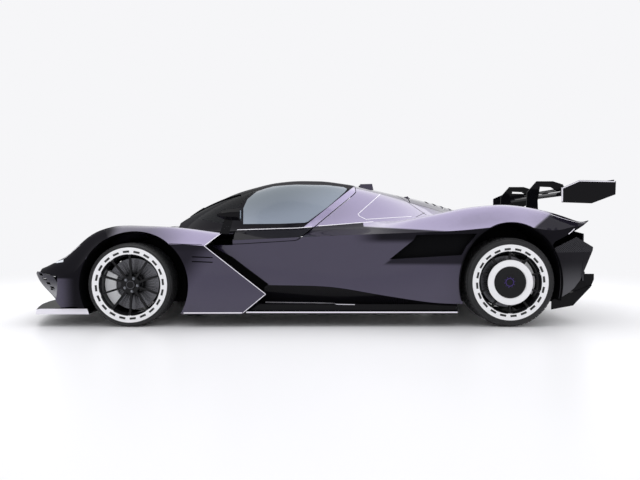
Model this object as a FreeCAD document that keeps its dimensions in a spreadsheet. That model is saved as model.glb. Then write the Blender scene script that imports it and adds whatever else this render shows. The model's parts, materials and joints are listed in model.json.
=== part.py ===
import FreeCAD, Part
import math
import os
import Sketcher

V = FreeCAD.Vector
doc = FreeCAD.newDocument("supercar")

# Driving dimensions in millimetres and degrees. The front is at -X, the left side at -Y, the ground at z = 0.
SIZES = [
    ("wheel_base", 2855),
    ("front_overhang", 921),
    ("rear_overhang", 825),
    ("body_width", 2040),
    ("body_height", 1164),
    ("floor_height", 97),
    ("skin_thickness", 4),
    ("panel_gap", 0.8),
    ("moving_gap", 8),
    ("front_tyre_radius", 316),
    ("front_tyre_width", 255),
    ("rear_tyre_radius", 335),
    ("rear_tyre_width", 305),
    ("front_rim_radius", 248),
    ("rear_rim_radius", 251),
    ("ring_outer_front", 282),
    ("ring_inner_front", 232),
    ("ring_outer_rear", 285),
    ("ring_inner_rear", 236),
    ("front_arch_radius", 407),
    ("rear_arch_half", 380),
    ("rear_arch_rise", 446),
    ("wheel_inset", 22),
    ("disc_radius", 195),
    ("disc_thickness", 30),
    ("spoke_count", 10),
    ("spoke_thickness", 15),
    ("hub_radius", 66),
    ("aero_disc_radius", 170),
    ("wing_span", 1800),
    ("endplate_thickness", 8),
    ("pylon_spacing", 750),
    ("pylon_thickness", 16),
    ("steering_wheel_radius", 160),
    ("half_shaft_radius", 19),
]

sheet = doc.addObject("Spreadsheet::Sheet", "sizes")
for row, (name, number) in enumerate(SIZES, start=1):
    sheet.set("A%d" % row, name)
    sheet.set("B%d" % row, str(number))
    sheet.setAlias("B%d" % row, name)
doc.recompute()


class Size:
    """A number of the sheet together with the expression it came from."""

    def __init__(self, text, number):
        self.text = text
        self.number = number

    def __float__(self):
        return self.number

    def joined(self, sign, other, result):
        text = other.text if isinstance(other, Size) else repr(float(other))
        return Size("(%s %s %s)" % (self.text, sign, text), result)

    def __add__(self, other):
        return self.joined("+", other, self.number + float(other))

    def __sub__(self, other):
        return self.joined("-", other, self.number - float(other))

    def __mul__(self, other):
        return self.joined("*", other, self.number * float(other))

    def __truediv__(self, other):
        return self.joined("/", other, self.number / float(other))

    def __neg__(self):
        return self * -1


class Sheet:
    """The driving dimensions by name."""


d = Sheet()
for name, number in SIZES:
    setattr(d, name, Size("sizes.%s" % name, float(sheet.get(name))))

LENGTH = float(d.front_overhang) + float(d.wheel_base) + float(d.rear_overhang)
HALF = float(d.body_width) / 2
TOP = float(d.body_height)
FRONT_AXLE = -LENGTH / 2 + float(d.front_overhang)
REAR_AXLE = FRONT_AXLE + float(d.wheel_base)
SKIN = float(d.skin_thickness)
GAP = float(d.panel_gap)
MOVING = float(d.moving_gap)
FLOOR = float(d.floor_height) * 1164.0 / TOP
FRONT_HUB_Y = HALF - float(d.wheel_inset) - float(d.front_tyre_width) / 2
REAR_HUB_Y = HALF - float(d.wheel_inset) - float(d.rear_tyre_width) / 2

# Stations are written for the standard car and stretched between the axles and the ends.
ANCHORS = [
    (-2313.0, -LENGTH / 2),
    (-1392.0, FRONT_AXLE),
    (1463.0, REAR_AXLE),
    (2288.0, LENGTH / 2),
]


def along(x):
    """The real place lengthwise of a standard station."""
    pairs = list(zip(ANCHORS, ANCHORS[1:]))
    for (a, real_a), (b, real_b) in pairs:
        if x <= b or b == ANCHORS[-1][0]:
            return real_a + (x - a) * (real_b - real_a) / (b - a)


def out(u):
    """The real half width of a standard one."""
    return u * HALF / 1020.0


def up(z):
    """The real height of a standard one."""
    return z * TOP / 1164.0


def point(x, u, z):
    return V(along(x), out(u), up(z))


def follow(pairs):
    """A smooth line through (x, value) pairs that makes no waves between them."""
    xs = [p[0] for p in pairs]
    ys = [p[1] for p in pairs]
    steps = [(ys[i + 1] - ys[i]) / (xs[i + 1] - xs[i]) for i in range(len(xs) - 1)]
    slopes = [steps[0]]
    for i in range(1, len(steps)):
        a = steps[i - 1]
        b = steps[i]
        if a * b <= 0:
            slopes.append(0.0)
            continue
        wa = 2 * (xs[i + 1] - xs[i]) + (xs[i] - xs[i - 1])
        wb = (xs[i + 1] - xs[i]) + 2 * (xs[i] - xs[i - 1])
        slopes.append((wa + wb) / (wa / a + wb / b))
    slopes.append(steps[-1])

    def value(x):
        if x <= xs[0]:
            return ys[0] + (x - xs[0]) * slopes[0]
        if x >= xs[-1]:
            return ys[-1] + (x - xs[-1]) * slopes[-1]
        i = 0
        while x > xs[i + 1]:
            i += 1
        width = xs[i + 1] - xs[i]
        t = (x - xs[i]) / width
        start = (1 + 2 * t) * (1 - t) ** 2 * ys[i] + t * (1 - t) ** 2 * width * slopes[i]
        end = t * t * (3 - 2 * t) * ys[i + 1] + t * t * (t - 1) * width * slopes[i + 1]
        return start + end

    return value


class Line:
    """A character line of the body: half width and height over the length."""

    def __init__(self, points):
        self.width = follow([(p[0], p[1]) for p in points])
        self.height = follow([(p[0], p[2]) for p in points])

    def __call__(self, x):
        return self.width(x), self.height(x)


# Front half: bonnet centre, valley beside it, crest of the wing, outer crease and lower edge.
HOOD_CENTRE = Line([(-2400, 0, 285), (-2313, 0, 330), (-2150, 0, 425), (-1900, 0, 535), (-1600, 0, 650),
                    (-1350, 0, 733), (-1203, 0, 772), (-1000, 0, 800), (-700, 0, 820)])
HOOD_VALLEY = Line([(-2400, 430, 270), (-2250, 440, 340), (-2150, 450, 390), (-1900, 480, 478),
                    (-1600, 520, 572), (-1350, 560, 640), (-1200, 590, 676), (-1000, 625, 697),
                    (-700, 670, 702)])
WING_CREST = Line([(-2400, 770, 330), (-2250, 785, 372), (-2128, 805, 427), (-1992, 832, 491),
                   (-1888, 850, 553), (-1819, 860, 610), (-1763, 868, 660), (-1678, 875, 712),
                   (-1586, 878, 745), (-1456, 880, 763), (-1238, 880, 757), (-1130, 872, 752),
                   (-935, 856, 733), (-843, 850, 719), (-718, 843, 706), (-300, 840, 690)])
WING_CREASE = Line([(-2400, 935, 372), (-2128, 962, 378), (-1992, 985, 376), (-1888, 1000, 380),
                    (-1800, 1008, 410), (-1700, 1014, 540), (-1600, 1016, 630), (-1500, 1018, 672),
                    (-1400, 1020, 685), (-1250, 1014, 668), (-1135, 1004, 630), (-924, 996, 617),
                    (-828, 991, 611), (-300, 985, 600)])
WING_FOOT = Line([(-2128, 958, 150), (-1768, 1000, 150), (-1700, 1004, 120), (-946, 1006, 100),
                  (-541, 1000, 100), (-300, 990, 100)])

# Cabin: centre of the screen and roof, the turn of the roof, roof rail and belt below the glass.
ROOF_CENTRE = Line([(-1260, 0, 742), (-1203, 0, 776), (-1142, 0, 826), (-1080, 0, 868), (-1011, 0, 911),
                    (-928, 0, 958), (-831, 0, 1005), (-716, 0, 1053), (-575, 0, 1096), (-375, 0, 1142),
                    (-209, 0, 1161), (-54, 0, 1164), (100, 0, 1156), (279, 0, 1132), (459, 0, 1098),
                    (754, 0, 1033), (971, 0, 987), (1254, 0, 904), (1448, 0, 852), (1817, 0, 800),
                    (2125, 0, 782)])
ROOF_TURN = Line([(-1260, 240, 731), (-1203, 242, 768), (-1142, 244, 810), (-1021, 248, 875), (-871, 256, 951),
                  (-780, 266, 993), (-671, 282, 1038), (-539, 304, 1077), (-351, 318, 1123), (-194, 320, 1140),
                  (-49, 320, 1143), (96, 320, 1136), (264, 315, 1113), (434, 302, 1080), (711, 268, 1020),
                  (916, 242, 974), (1061, 222, 934), (1182, 208, 900), (1448, 198, 845), (1817, 198, 797),
                  (2125, 198, 780)])
ROOF_RAIL = Line([(-1260, 330, 700), (-1203, 330, 735), (-1021, 338, 842), (-871, 350, 918),
                  (-780, 364, 958), (-671, 385, 1003), (-568, 410, 1038), (-461, 426, 1066),
                  (-354, 432, 1095), (-170, 436, 1111), (94, 436, 1106), (259, 430, 1088),
                  (337, 425, 1074), (434, 412, 1056), (554, 394, 1032), (711, 366, 996),
                  (916, 330, 948), (1061, 304, 908), (1182, 284, 872), (1448, 270, 826),
                  (1817, 270, 784), (2125, 270, 772)])
BELT = Line([(-1260, 590, 560), (-1021, 600, 684), (-871, 608, 712), (-780, 618, 722),
             (-671, 648, 726), (-539, 674, 729), (-300, 692, 737), (-156, 698, 741), (114, 705, 764),
             (337, 703, 783), (471, 700, 792), (700, 690, 806), (900, 660, 812), (1100, 612, 812),
             (1448, 560, 796), (1817, 560, 764), (2125, 560, 758)])

# Rear half: crest of the rear wing, shoulder crease, and the lower edge of the flank.
REAR_CREST = Line([(-900, 735, 690), (-539, 745, 694), (-156, 748, 712), (114, 750, 734),
                   (408, 764, 754), (753, 800, 817), (1056, 830, 877), (1219, 845, 908),
                   (1448, 850, 923), (1660, 850, 899), (1817, 848, 862), (2022, 836, 808),
                   (2125, 828, 806)])
SHOULDER = Line([(-900, 790, 640), (-640, 845, 650), (-400, 872, 660), (-114, 893, 672),
                 (380, 930, 695), (711, 960, 708), (1014, 990, 721), (1200, 1008, 736),
                 (1448, 1018, 758), (1600, 1014, 752), (1750, 996, 728), (1900, 958, 736),
                 (2000, 922, 762), (2087, 880, 800), (2125, 864, 806)])
CANOPY_FOOT = Line([(-1300, 760, 310), (-900, 800, 310), (-640, 858, 308), (-357, 892, 306),
                    (0, 928, 304), (380, 958, 298)])
FLANK_FOOT = Line([(-900, 800, 310), (-640, 858, 308), (-357, 892, 306), (-40, 924, 304), (120, 938, 296),
                   (261, 950, 278), (411, 960, 252), (640, 974, 216), (899, 986, 182), (1075, 990, 174),
                   (1200, 1000, 176), (1448, 1006, 184), (1805, 988, 200), (2000, 905, 300),
                   (2125, 850, 350)])


def spread(a, b, count):
    return [a + (b - a) * i / (count - 1) for i in range(count)]


def offset(points, distance):
    """The same open outline moved to its right-hand side by a distance."""
    moved = []
    for i, (u, z) in enumerate(points):
        normals = []
        for j in (i - 1, i):
            if 0 <= j < len(points) - 1:
                du = points[j + 1][0] - points[j][0]
                dz = points[j + 1][1] - points[j][1]
                size = math.hypot(du, dz)
                normals.append((dz / size, -du / size))
        nu = sum(n[0] for n in normals) / len(normals)
        nz = sum(n[1] for n in normals) / len(normals)
        square = nu * nu + nz * nz
        moved.append((u + distance * nu / square, z + distance * nz / square))
    return moved


def curve(points):
    """A straight edge through two points, a smooth one through more."""
    if len(points) == 2:
        return Part.makeLine(points[0], points[1])
    spline = Part.BSplineCurve()
    last = len(points) - 1
    spline.interpolate(Points=points, Parameters=[i / last for i in range(last + 1)])
    return spline.toShape()


def closed_section(x, runs, thickness, depth):
    """A closed wire across the car: the runs moved inwards by the depth, and by the thickness."""
    chain = [runs[0][0]]
    for run in runs:
        chain += run[1:]
    inner = offset(chain, thickness)
    if depth:
        chain = offset(chain, depth)
    outer_edges = []
    inner_edges = []
    start = 0
    for run in runs:
        stop = start + len(run) - 1
        outer_edges.append(curve([point(x, u, z) for u, z in chain[start:stop + 1]]))
        inner_edges.append(curve([point(x, u, z) for u, z in reversed(inner[start:stop + 1])]))
        start = stop
    tail = Part.makeLine(point(x, *chain[-1]), point(x, *inner[-1]))
    head = Part.makeLine(point(x, *inner[0]), point(x, *chain[0]))
    return Part.Wire(outer_edges + [tail] + inner_edges[::-1] + [head])


def skin(stations, profile, thickness=SKIN, depth=0.0):
    """A panel lofted through the sections that profile gives at the stations, from a depth to a thickness."""
    wires = [closed_section(x, profile(x), thickness, depth) for x in stations]
    return Part.makeLoft(wires, True, False)


def side_prism(corners, y_from=-1500.0, y_to=1500.0):
    """A solid over a side view outline of standard (x, z) corners."""
    points = [V(along(x), y_from, up(z)) for x, z in corners]
    face = Part.Face(Part.makePolygon(points + points[:1]))
    return face.extrude(V(0, y_to - y_from, 0))


def plan_prism(corners, z_from=-50.0, z_to=1500.0):
    """A solid over a plan outline of standard (x, y) corners, joined by a smooth or straight line."""
    points = [V(along(x), out(y), z_from) for x, y in corners]
    face = Part.Face(Part.makePolygon(points + points[:1]))
    return face.extrude(V(0, 0, z_to - z_from))


def extruded_x(corners, x0, x1):
    """A solid over a front view outline of standard (y, z) corners."""
    points = [V(along(x0), out(y), up(z)) for y, z in corners]
    face = Part.Face(Part.makePolygon(points + points[:1]))
    return face.extrude(V(along(x1) - along(x0), 0, 0))


def mirrored(shape):
    return shape.mirror(V(0, 0, 0), V(0, 1, 0))


def box(x0, x1, y0, y1, z0, z1):
    return Part.makeBox(x1 - x0, y1 - y0, z1 - z0, V(x0, y0, z0))


def rod(a, b, radius):
    """A round bar between two points."""
    return Part.makeCylinder(radius, (b - a).Length, a, b - a)


def fused(shapes):
    first = shapes[0]
    if len(shapes) == 1:
        return first
    return first.multiFuse(shapes[1:]).removeSplitter()


parts = []


def keep(obj, label):
    obj.Label = label
    parts.append(obj)
    return obj


def feature(label, shape, placement=None):
    """A sub-part whose shape is worked out above."""
    obj = doc.addObject("Part::Feature", label)
    obj.Shape = shape
    if placement is not None:
        obj.Placement = placement
    return keep(obj, label)


def outline_sketch(body, plane, corners):
    """A closed sketch whose corners are bound to the sheet."""
    sketch = body.newObject("Sketcher::SketchObject", "outline")
    support = [f for f in body.Origin.OriginFeatures if f.Role == plane][0]
    sketch.AttachmentSupport = [(support, "")]
    sketch.MapMode = "FlatFace"
    count = len(corners)
    places = [V(float(a), float(b), 0) for a, b in corners]
    for i in range(count):
        sketch.addGeometry(Part.LineSegment(places[i], places[(i + 1) % count]), False)
    for i in range(count):
        sketch.addConstraint(Sketcher.Constraint("Coincident", i, 2, (i + 1) % count, 1))
    for i, pair in enumerate(corners):
        for kind, value in zip(("DistanceX", "DistanceY"), pair):
            index = sketch.addConstraint(Sketcher.Constraint(kind, -1, 1, i, 1, float(value)))
            if isinstance(value, Size):
                sketch.setExpression("Constraints[%d]" % index, value.text)
    return sketch


def turned_body(label, corners, placement):
    """A revolved body about its own Y axis; the corners are (axial, radial) pairs."""
    body = doc.addObject("PartDesign::Body", label)
    sketch = outline_sketch(body, "YZ_Plane", corners)
    turn = body.newObject("PartDesign::Revolution", "turn")
    turn.Profile = sketch
    turn.ReferenceAxis = (sketch, ["H_Axis"])
    turn.Angle = 360
    sketch.Visibility = False
    body.Placement = placement
    return keep(body, label)


def hub_placement(x, y, z):
    """Wheels are drawn with the outer face at -Y; the right ones are turned half round."""
    turn = FreeCAD.Rotation(V(0, 0, 1), 180 if y > 0 else 0)
    return FreeCAD.Placement(V(x, y, z), turn)


# Wheels.
WHEELS = [
    ("front_left", FRONT_AXLE, -FRONT_HUB_Y, "front"),
    ("front_right", FRONT_AXLE, FRONT_HUB_Y, "front"),
    ("rear_left", REAR_AXLE, -REAR_HUB_Y, "rear"),
    ("rear_right", REAR_AXLE, REAR_HUB_Y, "rear"),
]


def tyre_outline(radius, rim, width, ring):
    """Section of the tyre as (axial, radial) pairs, with a step in the outer wall for the ring of the rim."""
    half = width / 2
    return [
        (-half + 16, rim), (-half + 6, rim + 6), (-half + 6, ring + 1), (-half + 1, ring + 5),
        (-half + 4, radius - 18), (-half + 16, radius - 6), (-half + 38, radius), (half - 38, radius),
        (half - 16, radius - 6), (half - 5, radius - 20), (half, rim + 34), (half - 4, rim + 12),
        (half - 16, rim),
    ]


HUB_DEPTH = 34.0


def rim_shape(radius, width, ring_outer, ring_inner, aero):
    """Barrel with an outer ring, thin spokes, a hub and, at the rear, a disc over the spokes."""
    half = width / 2
    face = -half - 2
    barrel = [
        (face, ring_outer - 3), (face + 2, ring_outer), (-half + 5.7, ring_outer), (-half + 5.7, radius + 6),
        (-half + 15.8, radius), (-half + 24, radius - 1), (-half + 34, radius - 20), (half - 34, radius - 20),
        (half - 24, radius - 1), (half - 8, radius), (half - 8, radius - 10), (half - 20, radius - 14),
        (half - 30, radius - 31), (-half + 26, radius - 31), (-half + 14, ring_inner - 8), (face + 5, ring_inner),
    ]
    section = Part.Face(Part.makePolygon([V(0, a, r) for a, r in barrel + barrel[:1]]))
    shapes = [section.revolve(V(0, 0, 0), V(0, 1, 0), 360)]
    hub = float(d.hub_radius)
    depth = -half + 34
    shapes.append(rod(V(0, depth, 0), V(0, depth + HUB_DEPTH, 0), hub))
    shapes.append(rod(V(0, depth - 10, 0), V(0, depth + 10, 0), 33))
    count = int(float(d.spoke_count))
    thick = float(d.spoke_thickness)
    for i in range(count):
        corners = [(hub - 12, depth + 4), (ring_inner + 2, face + 10), (ring_inner + 2, face + 30),
                   (hub - 12, depth + 26)]
        wire = Part.makePolygon([V(-thick / 2, a, r) for r, a in corners + corners[:1]])
        blade = Part.Face(wire).extrude(V(thick, 0, 0))
        blade.rotate(V(0, 0, 0), V(0, 1, 0), 360.0 / count * i)
        shapes.append(blade)
    if aero:
        cover = float(d.aero_disc_radius)
        dish = [(face + 9, cover), (face + 4, cover - 2), (face + 4, 124), (face + 12, 120), (face + 24, 62),
                (face + 24, 30), (face + 30, 30), (face + 30, 66), (face + 18, 124), (face + 12, cover)]
        section = Part.Face(Part.makePolygon([V(0, a, r) for a, r in dish + dish[:1]]))
        shapes.append(section.revolve(V(0, 0, 0), V(0, 1, 0), 360))
    return fused(shapes)


for place, x, y, end in WHEELS:
    radius = getattr(d, end + "_tyre_radius")
    width = getattr(d, end + "_tyre_width")
    rim = getattr(d, end + "_rim_radius")
    spot = hub_placement(x, y, float(radius))
    ring = getattr(d, "ring_outer_" + end)
    turned_body("tyre_" + place, tyre_outline(radius, rim, width, ring), spot)
    ring_outer = float(getattr(d, "ring_outer_" + end))
    ring_inner = float(getattr(d, "ring_inner_" + end))
    shape = rim_shape(float(rim) - 0.3, float(width), ring_outer, ring_inner, end == "rear")
    feature("rim_" + place, shape, spot)


FRONT_HUB_Z = float(d.front_tyre_radius)
REAR_HUB_Z = float(d.rear_tyre_radius)
DISC = float(d.disc_radius)
DISC_THICK = float(d.disc_thickness)
SHAFT_R = float(d.half_shaft_radius)
GEARBOX_HALF = 190.0


def disc_shape(shaft):
    """Brake disc with its bell, turned about Y with the outer face at y = 0."""
    shapes = [rod(V(0, 0, 0), V(0, DISC_THICK, 0), DISC)]
    shapes.append(rod(V(0, -40, 0), V(0, DISC_THICK + 8, 0), 84))
    groove = rod(V(0, DISC_THICK * 0.35, 0), V(0, DISC_THICK * 0.65, 0), DISC + 1)
    groove = groove.cut(rod(V(0, 0, 0), V(0, DISC_THICK, 0), DISC - 14))
    shape = fused(shapes).cut(groove)
    if shaft:
        shape = fused([shape, rod(V(0, 0, 0), V(0, shaft, 0), SHAFT_R)])
        joint = rod(V(0, shaft - 90, 0), V(0, shaft, 0), SHAFT_R + 26)
        shape = fused([shape, joint, rod(V(0, DISC_THICK, 0), V(0, DISC_THICK + 70, 0), SHAFT_R + 22)])
    return shape


# The bell of each disc is seated just clear of the hub of its rim.
for place, x, y, end in WHEELS:
    side = -1 if y < 0 else 1
    hub_y = FRONT_HUB_Y if end == "front" else REAR_HUB_Y
    half = float(getattr(d, end + "_tyre_width")) / 2
    bell = hub_y + half - 34 - HUB_DEPTH - 0.3
    disc_y = bell - 40
    shaft = disc_y - GEARBOX_HALF - 0.3 if end == "rear" else 0
    spot = hub_placement(x, side * disc_y, float(getattr(d, end + "_tyre_radius")))
    feature("disc_" + place, disc_shape(shaft), spot)
    if end == "front":
        FRONT_DISC_Y = disc_y
    else:
        REAR_DISC_Y = disc_y


def caliper_shape(y_disc, x_axle, z_hub, turn):
    """A brake caliper round the left disc, from two plates and a bridge over the rim of the disc."""
    shapes = []
    for a, b in ((-22, -4.5), (DISC_THICK + 4.5, DISC_THICK + 26)):
        ring = rod(V(0, a, 0), V(0, b, 0), DISC + 8).cut(rod(V(0, a - 1, 0), V(0, b + 1, 0), DISC - 66))
        shapes.append(ring)
    bridge = rod(V(0, -22, 0), V(0, DISC_THICK + 26, 0), DISC + 17)
    shapes.append(bridge.cut(rod(V(0, -23, 0), V(0, DISC_THICK + 27, 0), DISC + 5)))
    shape = fused(shapes)
    wedge = Part.makeCylinder(DISC + 40, DISC_THICK + 60, V(0, -30, 0), V(0, 1, 0), 78)
    wedge.rotate(V(0, 0, 0), V(0, 1, 0), turn)
    shape = shape.common(wedge)
    shape.translate(V(x_axle, -y_disc, z_hub))
    return shape


def upright_shape(x, z, y_disc, x_caliper, bore):
    """Upright of a left wheel: boss, bar between the ball joints, bearing and caliper plate."""
    face = -y_disc + DISC_THICK + 36
    boss = rod(V(x, face, z), V(x, face + 30, z), 62)
    bearing = rod(V(x, -y_disc + DISC_THICK + 8.3, z), V(x, face + 5, z), 52)
    bar = box(x - 24, x + 24, face, face + 30, z - BALL_RISE, z + BALL_RISE)
    plate = box(min(x, x_caliper), max(x, x_caliper), -y_disc + DISC_THICK + 26, face + 8, z - 50, z + 50)
    shape = fused([boss, bearing, bar, plate])
    if bore:
        shape = shape.cut(rod(V(x, -y_disc, z), V(x, face + 40, z), bore))
    return shape


# The left pieces are drawn, the right ones are their mirror images.
BALL_RISE = 96.0
BALL = 13.0
FRONT_CALIPER = caliper_shape(FRONT_DISC_Y, FRONT_AXLE, FRONT_HUB_Z, 220)
KINGPIN_Y = FRONT_DISC_Y - DISC_THICK - 51
REAR_UPRIGHT_Y = REAR_DISC_Y - DISC_THICK - 51
knuckle = upright_shape(FRONT_AXLE, FRONT_HUB_Z, FRONT_DISC_Y, FRONT_AXLE - 160, 0)
feature("knuckle_left", knuckle)
feature("knuckle_right", mirrored(knuckle))
feature("caliper_left", FRONT_CALIPER)
feature("caliper_right", mirrored(FRONT_CALIPER))


def lined(points, count):
    """An even smooth run of points through the key points given."""
    reach = [0.0]
    for a, b in zip(points, points[1:]):
        reach.append(reach[-1] + math.hypot(b[0] - a[0], b[1] - a[1]))
    first = follow(list(zip(reach, [p[0] for p in points])))
    second = follow(list(zip(reach, [p[1] for p in points])))
    return [(first(t), second(t)) for t in spread(0, reach[-1], count)]


def bowed(a, b, bulge, count=4):
    """Points from a to b, bowed outwards by a bulge at the middle."""
    length = math.hypot(b[0] - a[0], b[1] - a[1])
    normal = (-(b[1] - a[1]) / length, (b[0] - a[0]) / length)
    points = []
    for t in spread(0, 1, count):
        lift = 4 * bulge * t * (1 - t)
        points.append((a[0] + (b[0] - a[0]) * t + normal[0] * lift, a[1] + (b[1] - a[1]) * t + normal[1] * lift))
    return points


def left(pair):
    return -pair[0], pair[1]


# Wheel openings.
FRONT_ARCH_R = float(d.front_arch_radius)
FRONT_ARCH_X = FRONT_AXLE + 35
front_arch = Part.makeCylinder(FRONT_ARCH_R, 3000, V(FRONT_ARCH_X, -1500, FRONT_HUB_Z - 4), V(0, 1, 0))


def oval_prism(grow, y_from, y_to):
    """The rear wheel opening grown by a margin, between two widths."""
    line = Part.Ellipse(V(0, 0, 0), float(d.rear_arch_rise) + grow, float(d.rear_arch_half) + grow).toShape()
    solid = Part.Face(Part.Wire([line])).extrude(V(0, 0, y_to - y_from))
    solid.rotate(V(0, 0, 0), V(0, 0, 1), 90)
    solid.rotate(V(0, 0, 0), V(1, 0, 0), -90)
    solid.translate(V(REAR_AXLE, y_from, REAR_HUB_Z))
    return solid


rear_arch = oval_prism(0, -1500, 1500)


# Front body.
FRONT_FIELD = [HOOD_CENTRE, HOOD_VALLEY, WING_CREST, WING_CREASE]
CREST_INSET = 60.0


def front_heights(x):
    return follow([line(x) for line in FRONT_FIELD])


def hood_profile(x):
    edge = WING_CREST(x)[0] - CREST_INSET
    height = front_heights(x)
    return [[(y, height(abs(y))) for y in spread(-edge, edge, 15)]]


def wing_profile(x):
    height = front_heights(x)
    inner = WING_CREST(x)[0] - CREST_INSET + GAP
    crease = WING_CREASE(x)
    foot = WING_FOOT(x)
    side = bowed(left(foot), left(crease), 5)
    top = [(-u, height(u)) for u in spread(crease[0], inner, 7)]
    return [side, top]


# Plan of the nose and of the foot of the canopy, and side view lines of the cuts.
NOSE_PLAN = [(-2306, 0), (-2303, 200), (-2290, 400), (-2255, 600), (-2205, 740), (-2140, 850),
             (-2075, 920), (-1990, 965)]


def canopy_half(x):
    """Right half of the canopy above the belt, centre first."""
    return lined([ROOF_CENTRE(x), ROOF_TURN(x), ROOF_RAIL(x), BELT(x)], 12)


def screen_foot(x):
    """Half width at which the screen runs down into the bonnet."""
    canopy = follow(canopy_half(x))
    bonnet = front_heights(x)
    low = 0.0
    high = 700.0
    for step in range(30):
        middle = (low + high) / 2
        if canopy(middle) > bonnet(middle):
            low = middle
        else:
            high = middle
    return low


SCREEN_TIP = -1190
SCREEN_FOOT = [(SCREEN_TIP, 0), (SCREEN_TIP + 4, 110)]
SCREEN_FOOT += [(x, screen_foot(x)) for x in (-1165, -1130, -1080, -1020, -950, -860, -760, -700, -640)]
BLADE_TIP = (-718, 706)
BLADE_NOTCH = (-828, 611)
BLADE_POINT = (-367, 248)
BLADE_HEEL = (-541, 103)


def both_sides(half):
    return half + [(x, -y) for x, y in reversed(half) if y != 0]


nose_keep = plan_prism(both_sides([(x, y) for x, y in NOSE_PLAN] + [(-1700, 1100), (400, 1100)]))
hood_foot = [(SCREEN_TIP - 20, 0), (SCREEN_TIP - 16, 120)]
hood_foot += [(x - 12, y + 10) for x, y in SCREEN_FOOT[2:]]
screen_hole = plan_prism(both_sides(hood_foot + [(-636, 900), (400, 900)]))
hood_stations = spread(-2330, -640, 14)
hood = skin(hood_stations, hood_profile).common(nose_keep).cut(screen_hole)


def tray(stations, profile, opening, rim, depth):
    """A thin-walled recess behind an opening of a panel, from the opening's solid and a slightly larger one."""
    block = skin(stations, profile, depth + 3, SKIN + 0.8).common(rim)
    return block.cut(skin(stations, profile, depth, SKIN).common(opening))


# Outlets in the bonnet for the air of the front radiators.
OUTLET = [(-1640, 400), (-1560, 590), (-1430, 590), (-1500, 400)]
OUTLET_RIM = [(-1648, 394), (-1565, 596), (-1423, 596), (-1496, 394)]
outlet = plan_prism(OUTLET)
hood_tray = tray(hood_stations[2:12], hood_profile, outlet, plan_prism(OUTLET_RIM), 42)
hood = hood.cut(outlet).cut(mirrored(outlet))
feature("hood", hood)

wing_stations = spread(-2150, -1990, 4)[:-1] + spread(-1990, -300, 15)
wing_raw = skin(wing_stations, wing_profile)
behind_blade = side_prism([BLADE_TIP, BLADE_NOTCH, BLADE_POINT, BLADE_HEEL, (-541, 0), (0, 0), (0, 1300),
                           (-700, 1300)])
nose_edge = side_prism([(-2118, 430), (-1914, 148), (-1914, 0), (-2600, 0), (-2600, 430)])
LAMP = [(-2075, -800), (-1985, -880), (-1925, -905), (-1935, -880), (-2000, -850), (-2060, -785)]
lamp_front = wing_raw.common(plan_prism([(x, y) for x, y in LAMP]))
lamp_room = plan_prism([(-2077, -801), (-1985, -881.5), (-1922, -907), (-1933, -878.5), (-1999, -848.5),
                        (-2060, -783.5)])
front_wing = wing_raw.cut(behind_blade).cut(front_arch).cut(nose_edge).common(nose_keep).cut(lamp_room)
front_wing = front_wing.cut(hood)
# A stair of four slots at each corner of the nose, and two vents in the blade behind the wheel.
SLOTS = [(-2108, 387), (-2072, 355), (-2040, 321), (-2009, 288)]
corner_slots = [side_prism([(x - 26, z + 10), (x + 22, z + 10), (x + 29, z - 9), (x - 19, z - 9)], -1100, -720)
                for x, z in SLOTS]
blade_vents = [side_prism([(-922, z), (-768, z - 6), (-768, z - 14), (-922, z - 8)], -1100, -850) for z in (532, 497)]
front_wing = front_wing.cut(fused(corner_slots)).cut(fused(blade_vents))
front_wing = max(front_wing.Solids, key=lambda solid: solid.Volume)
feature("front_fender_left", front_wing)
feature("front_fender_right", mirrored(front_wing))


def nose_profile(y):
    """Side view of the nose at one width, from the bonnet's edge down and back to the splitter."""
    reach = follow([(p[1], p[0]) for p in NOSE_PLAN])
    height = follow([(0, 322), (300, 328), (500, 345), (740, 385), (850, 410), (965, 420)])
    x = reach(abs(y))
    z = height(abs(y))
    foot = follow([(0, 108.9), (300, 108.9), (560, 108.9), (760, 125), (965, 150)])
    return [(x - 4, z), (x + 30, z - 70), (x + 110, z - 160), (x + 190, foot(abs(y)))]


def nose_section(y):
    outer = lined(nose_profile(y), 6)
    inner = [(x + SKIN * 1.5, z) for x, z in outer]
    a = [V(along(x), out(y), up(z)) for x, z in outer]
    b = [V(along(x), out(y), up(z)) for x, z in reversed(inner)]
    return Part.Wire([curve(a), Part.makeLine(a[-1], b[0]), curve(b), Part.makeLine(b[-1], a[0])])


nose_widths = [-962, -910, -850, -740, -600, -400, -200, 0, 200, 400, 600, 740, 850, 910, 962]
nose = Part.makeLoft([nose_section(y) for y in nose_widths], True, False)
hood_space = skin(hood_stations[:6], hood_profile, 14)
wing_space = skin(wing_stations[:8], wing_profile, 9)
nose = nose.cut(hood_space).cut(wing_space).cut(mirrored(wing_space))
nose = max(nose.Solids, key=lambda solid: solid.Volume)
# The grille opening in the middle.
grille = [(-470, 150), (-430, 262), (-300, 292), (300, 292), (430, 262), (470, 150)]
nose = nose.cut(extruded_x(grille, -2400, -2000))
for slot in corner_slots:
    nose = nose.cut(slot).cut(mirrored(slot))
nose = max(nose.Solids, key=lambda solid: solid.Volume)
feature("nose", nose)

splitter_plan = both_sides([(-2313, 0), (-2310, 300), (-2285, 480), (-2235, 650), (-2175, 820), (-2112, 950),
                            (-1716, 965), (-1716, 0)])
splitter = plan_prism(splitter_plan, up(92), up(108))
fence = side_prism([(-2112, 92), (-2105, 128), (-2070, 134), (-1722, 134), (-1708, 92)], -out(965), -out(950))
feature("front_splitter", fused([splitter, fence, mirrored(fence)]))

# Cabin.
CANOPY_CUT = [(-640, 621), (-580, 623), (-160, 650), (-138, 656), (-20, 747), (306, 1017), (330, 1042)]
GLASS = 5.0
FRAME = 30.0


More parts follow.
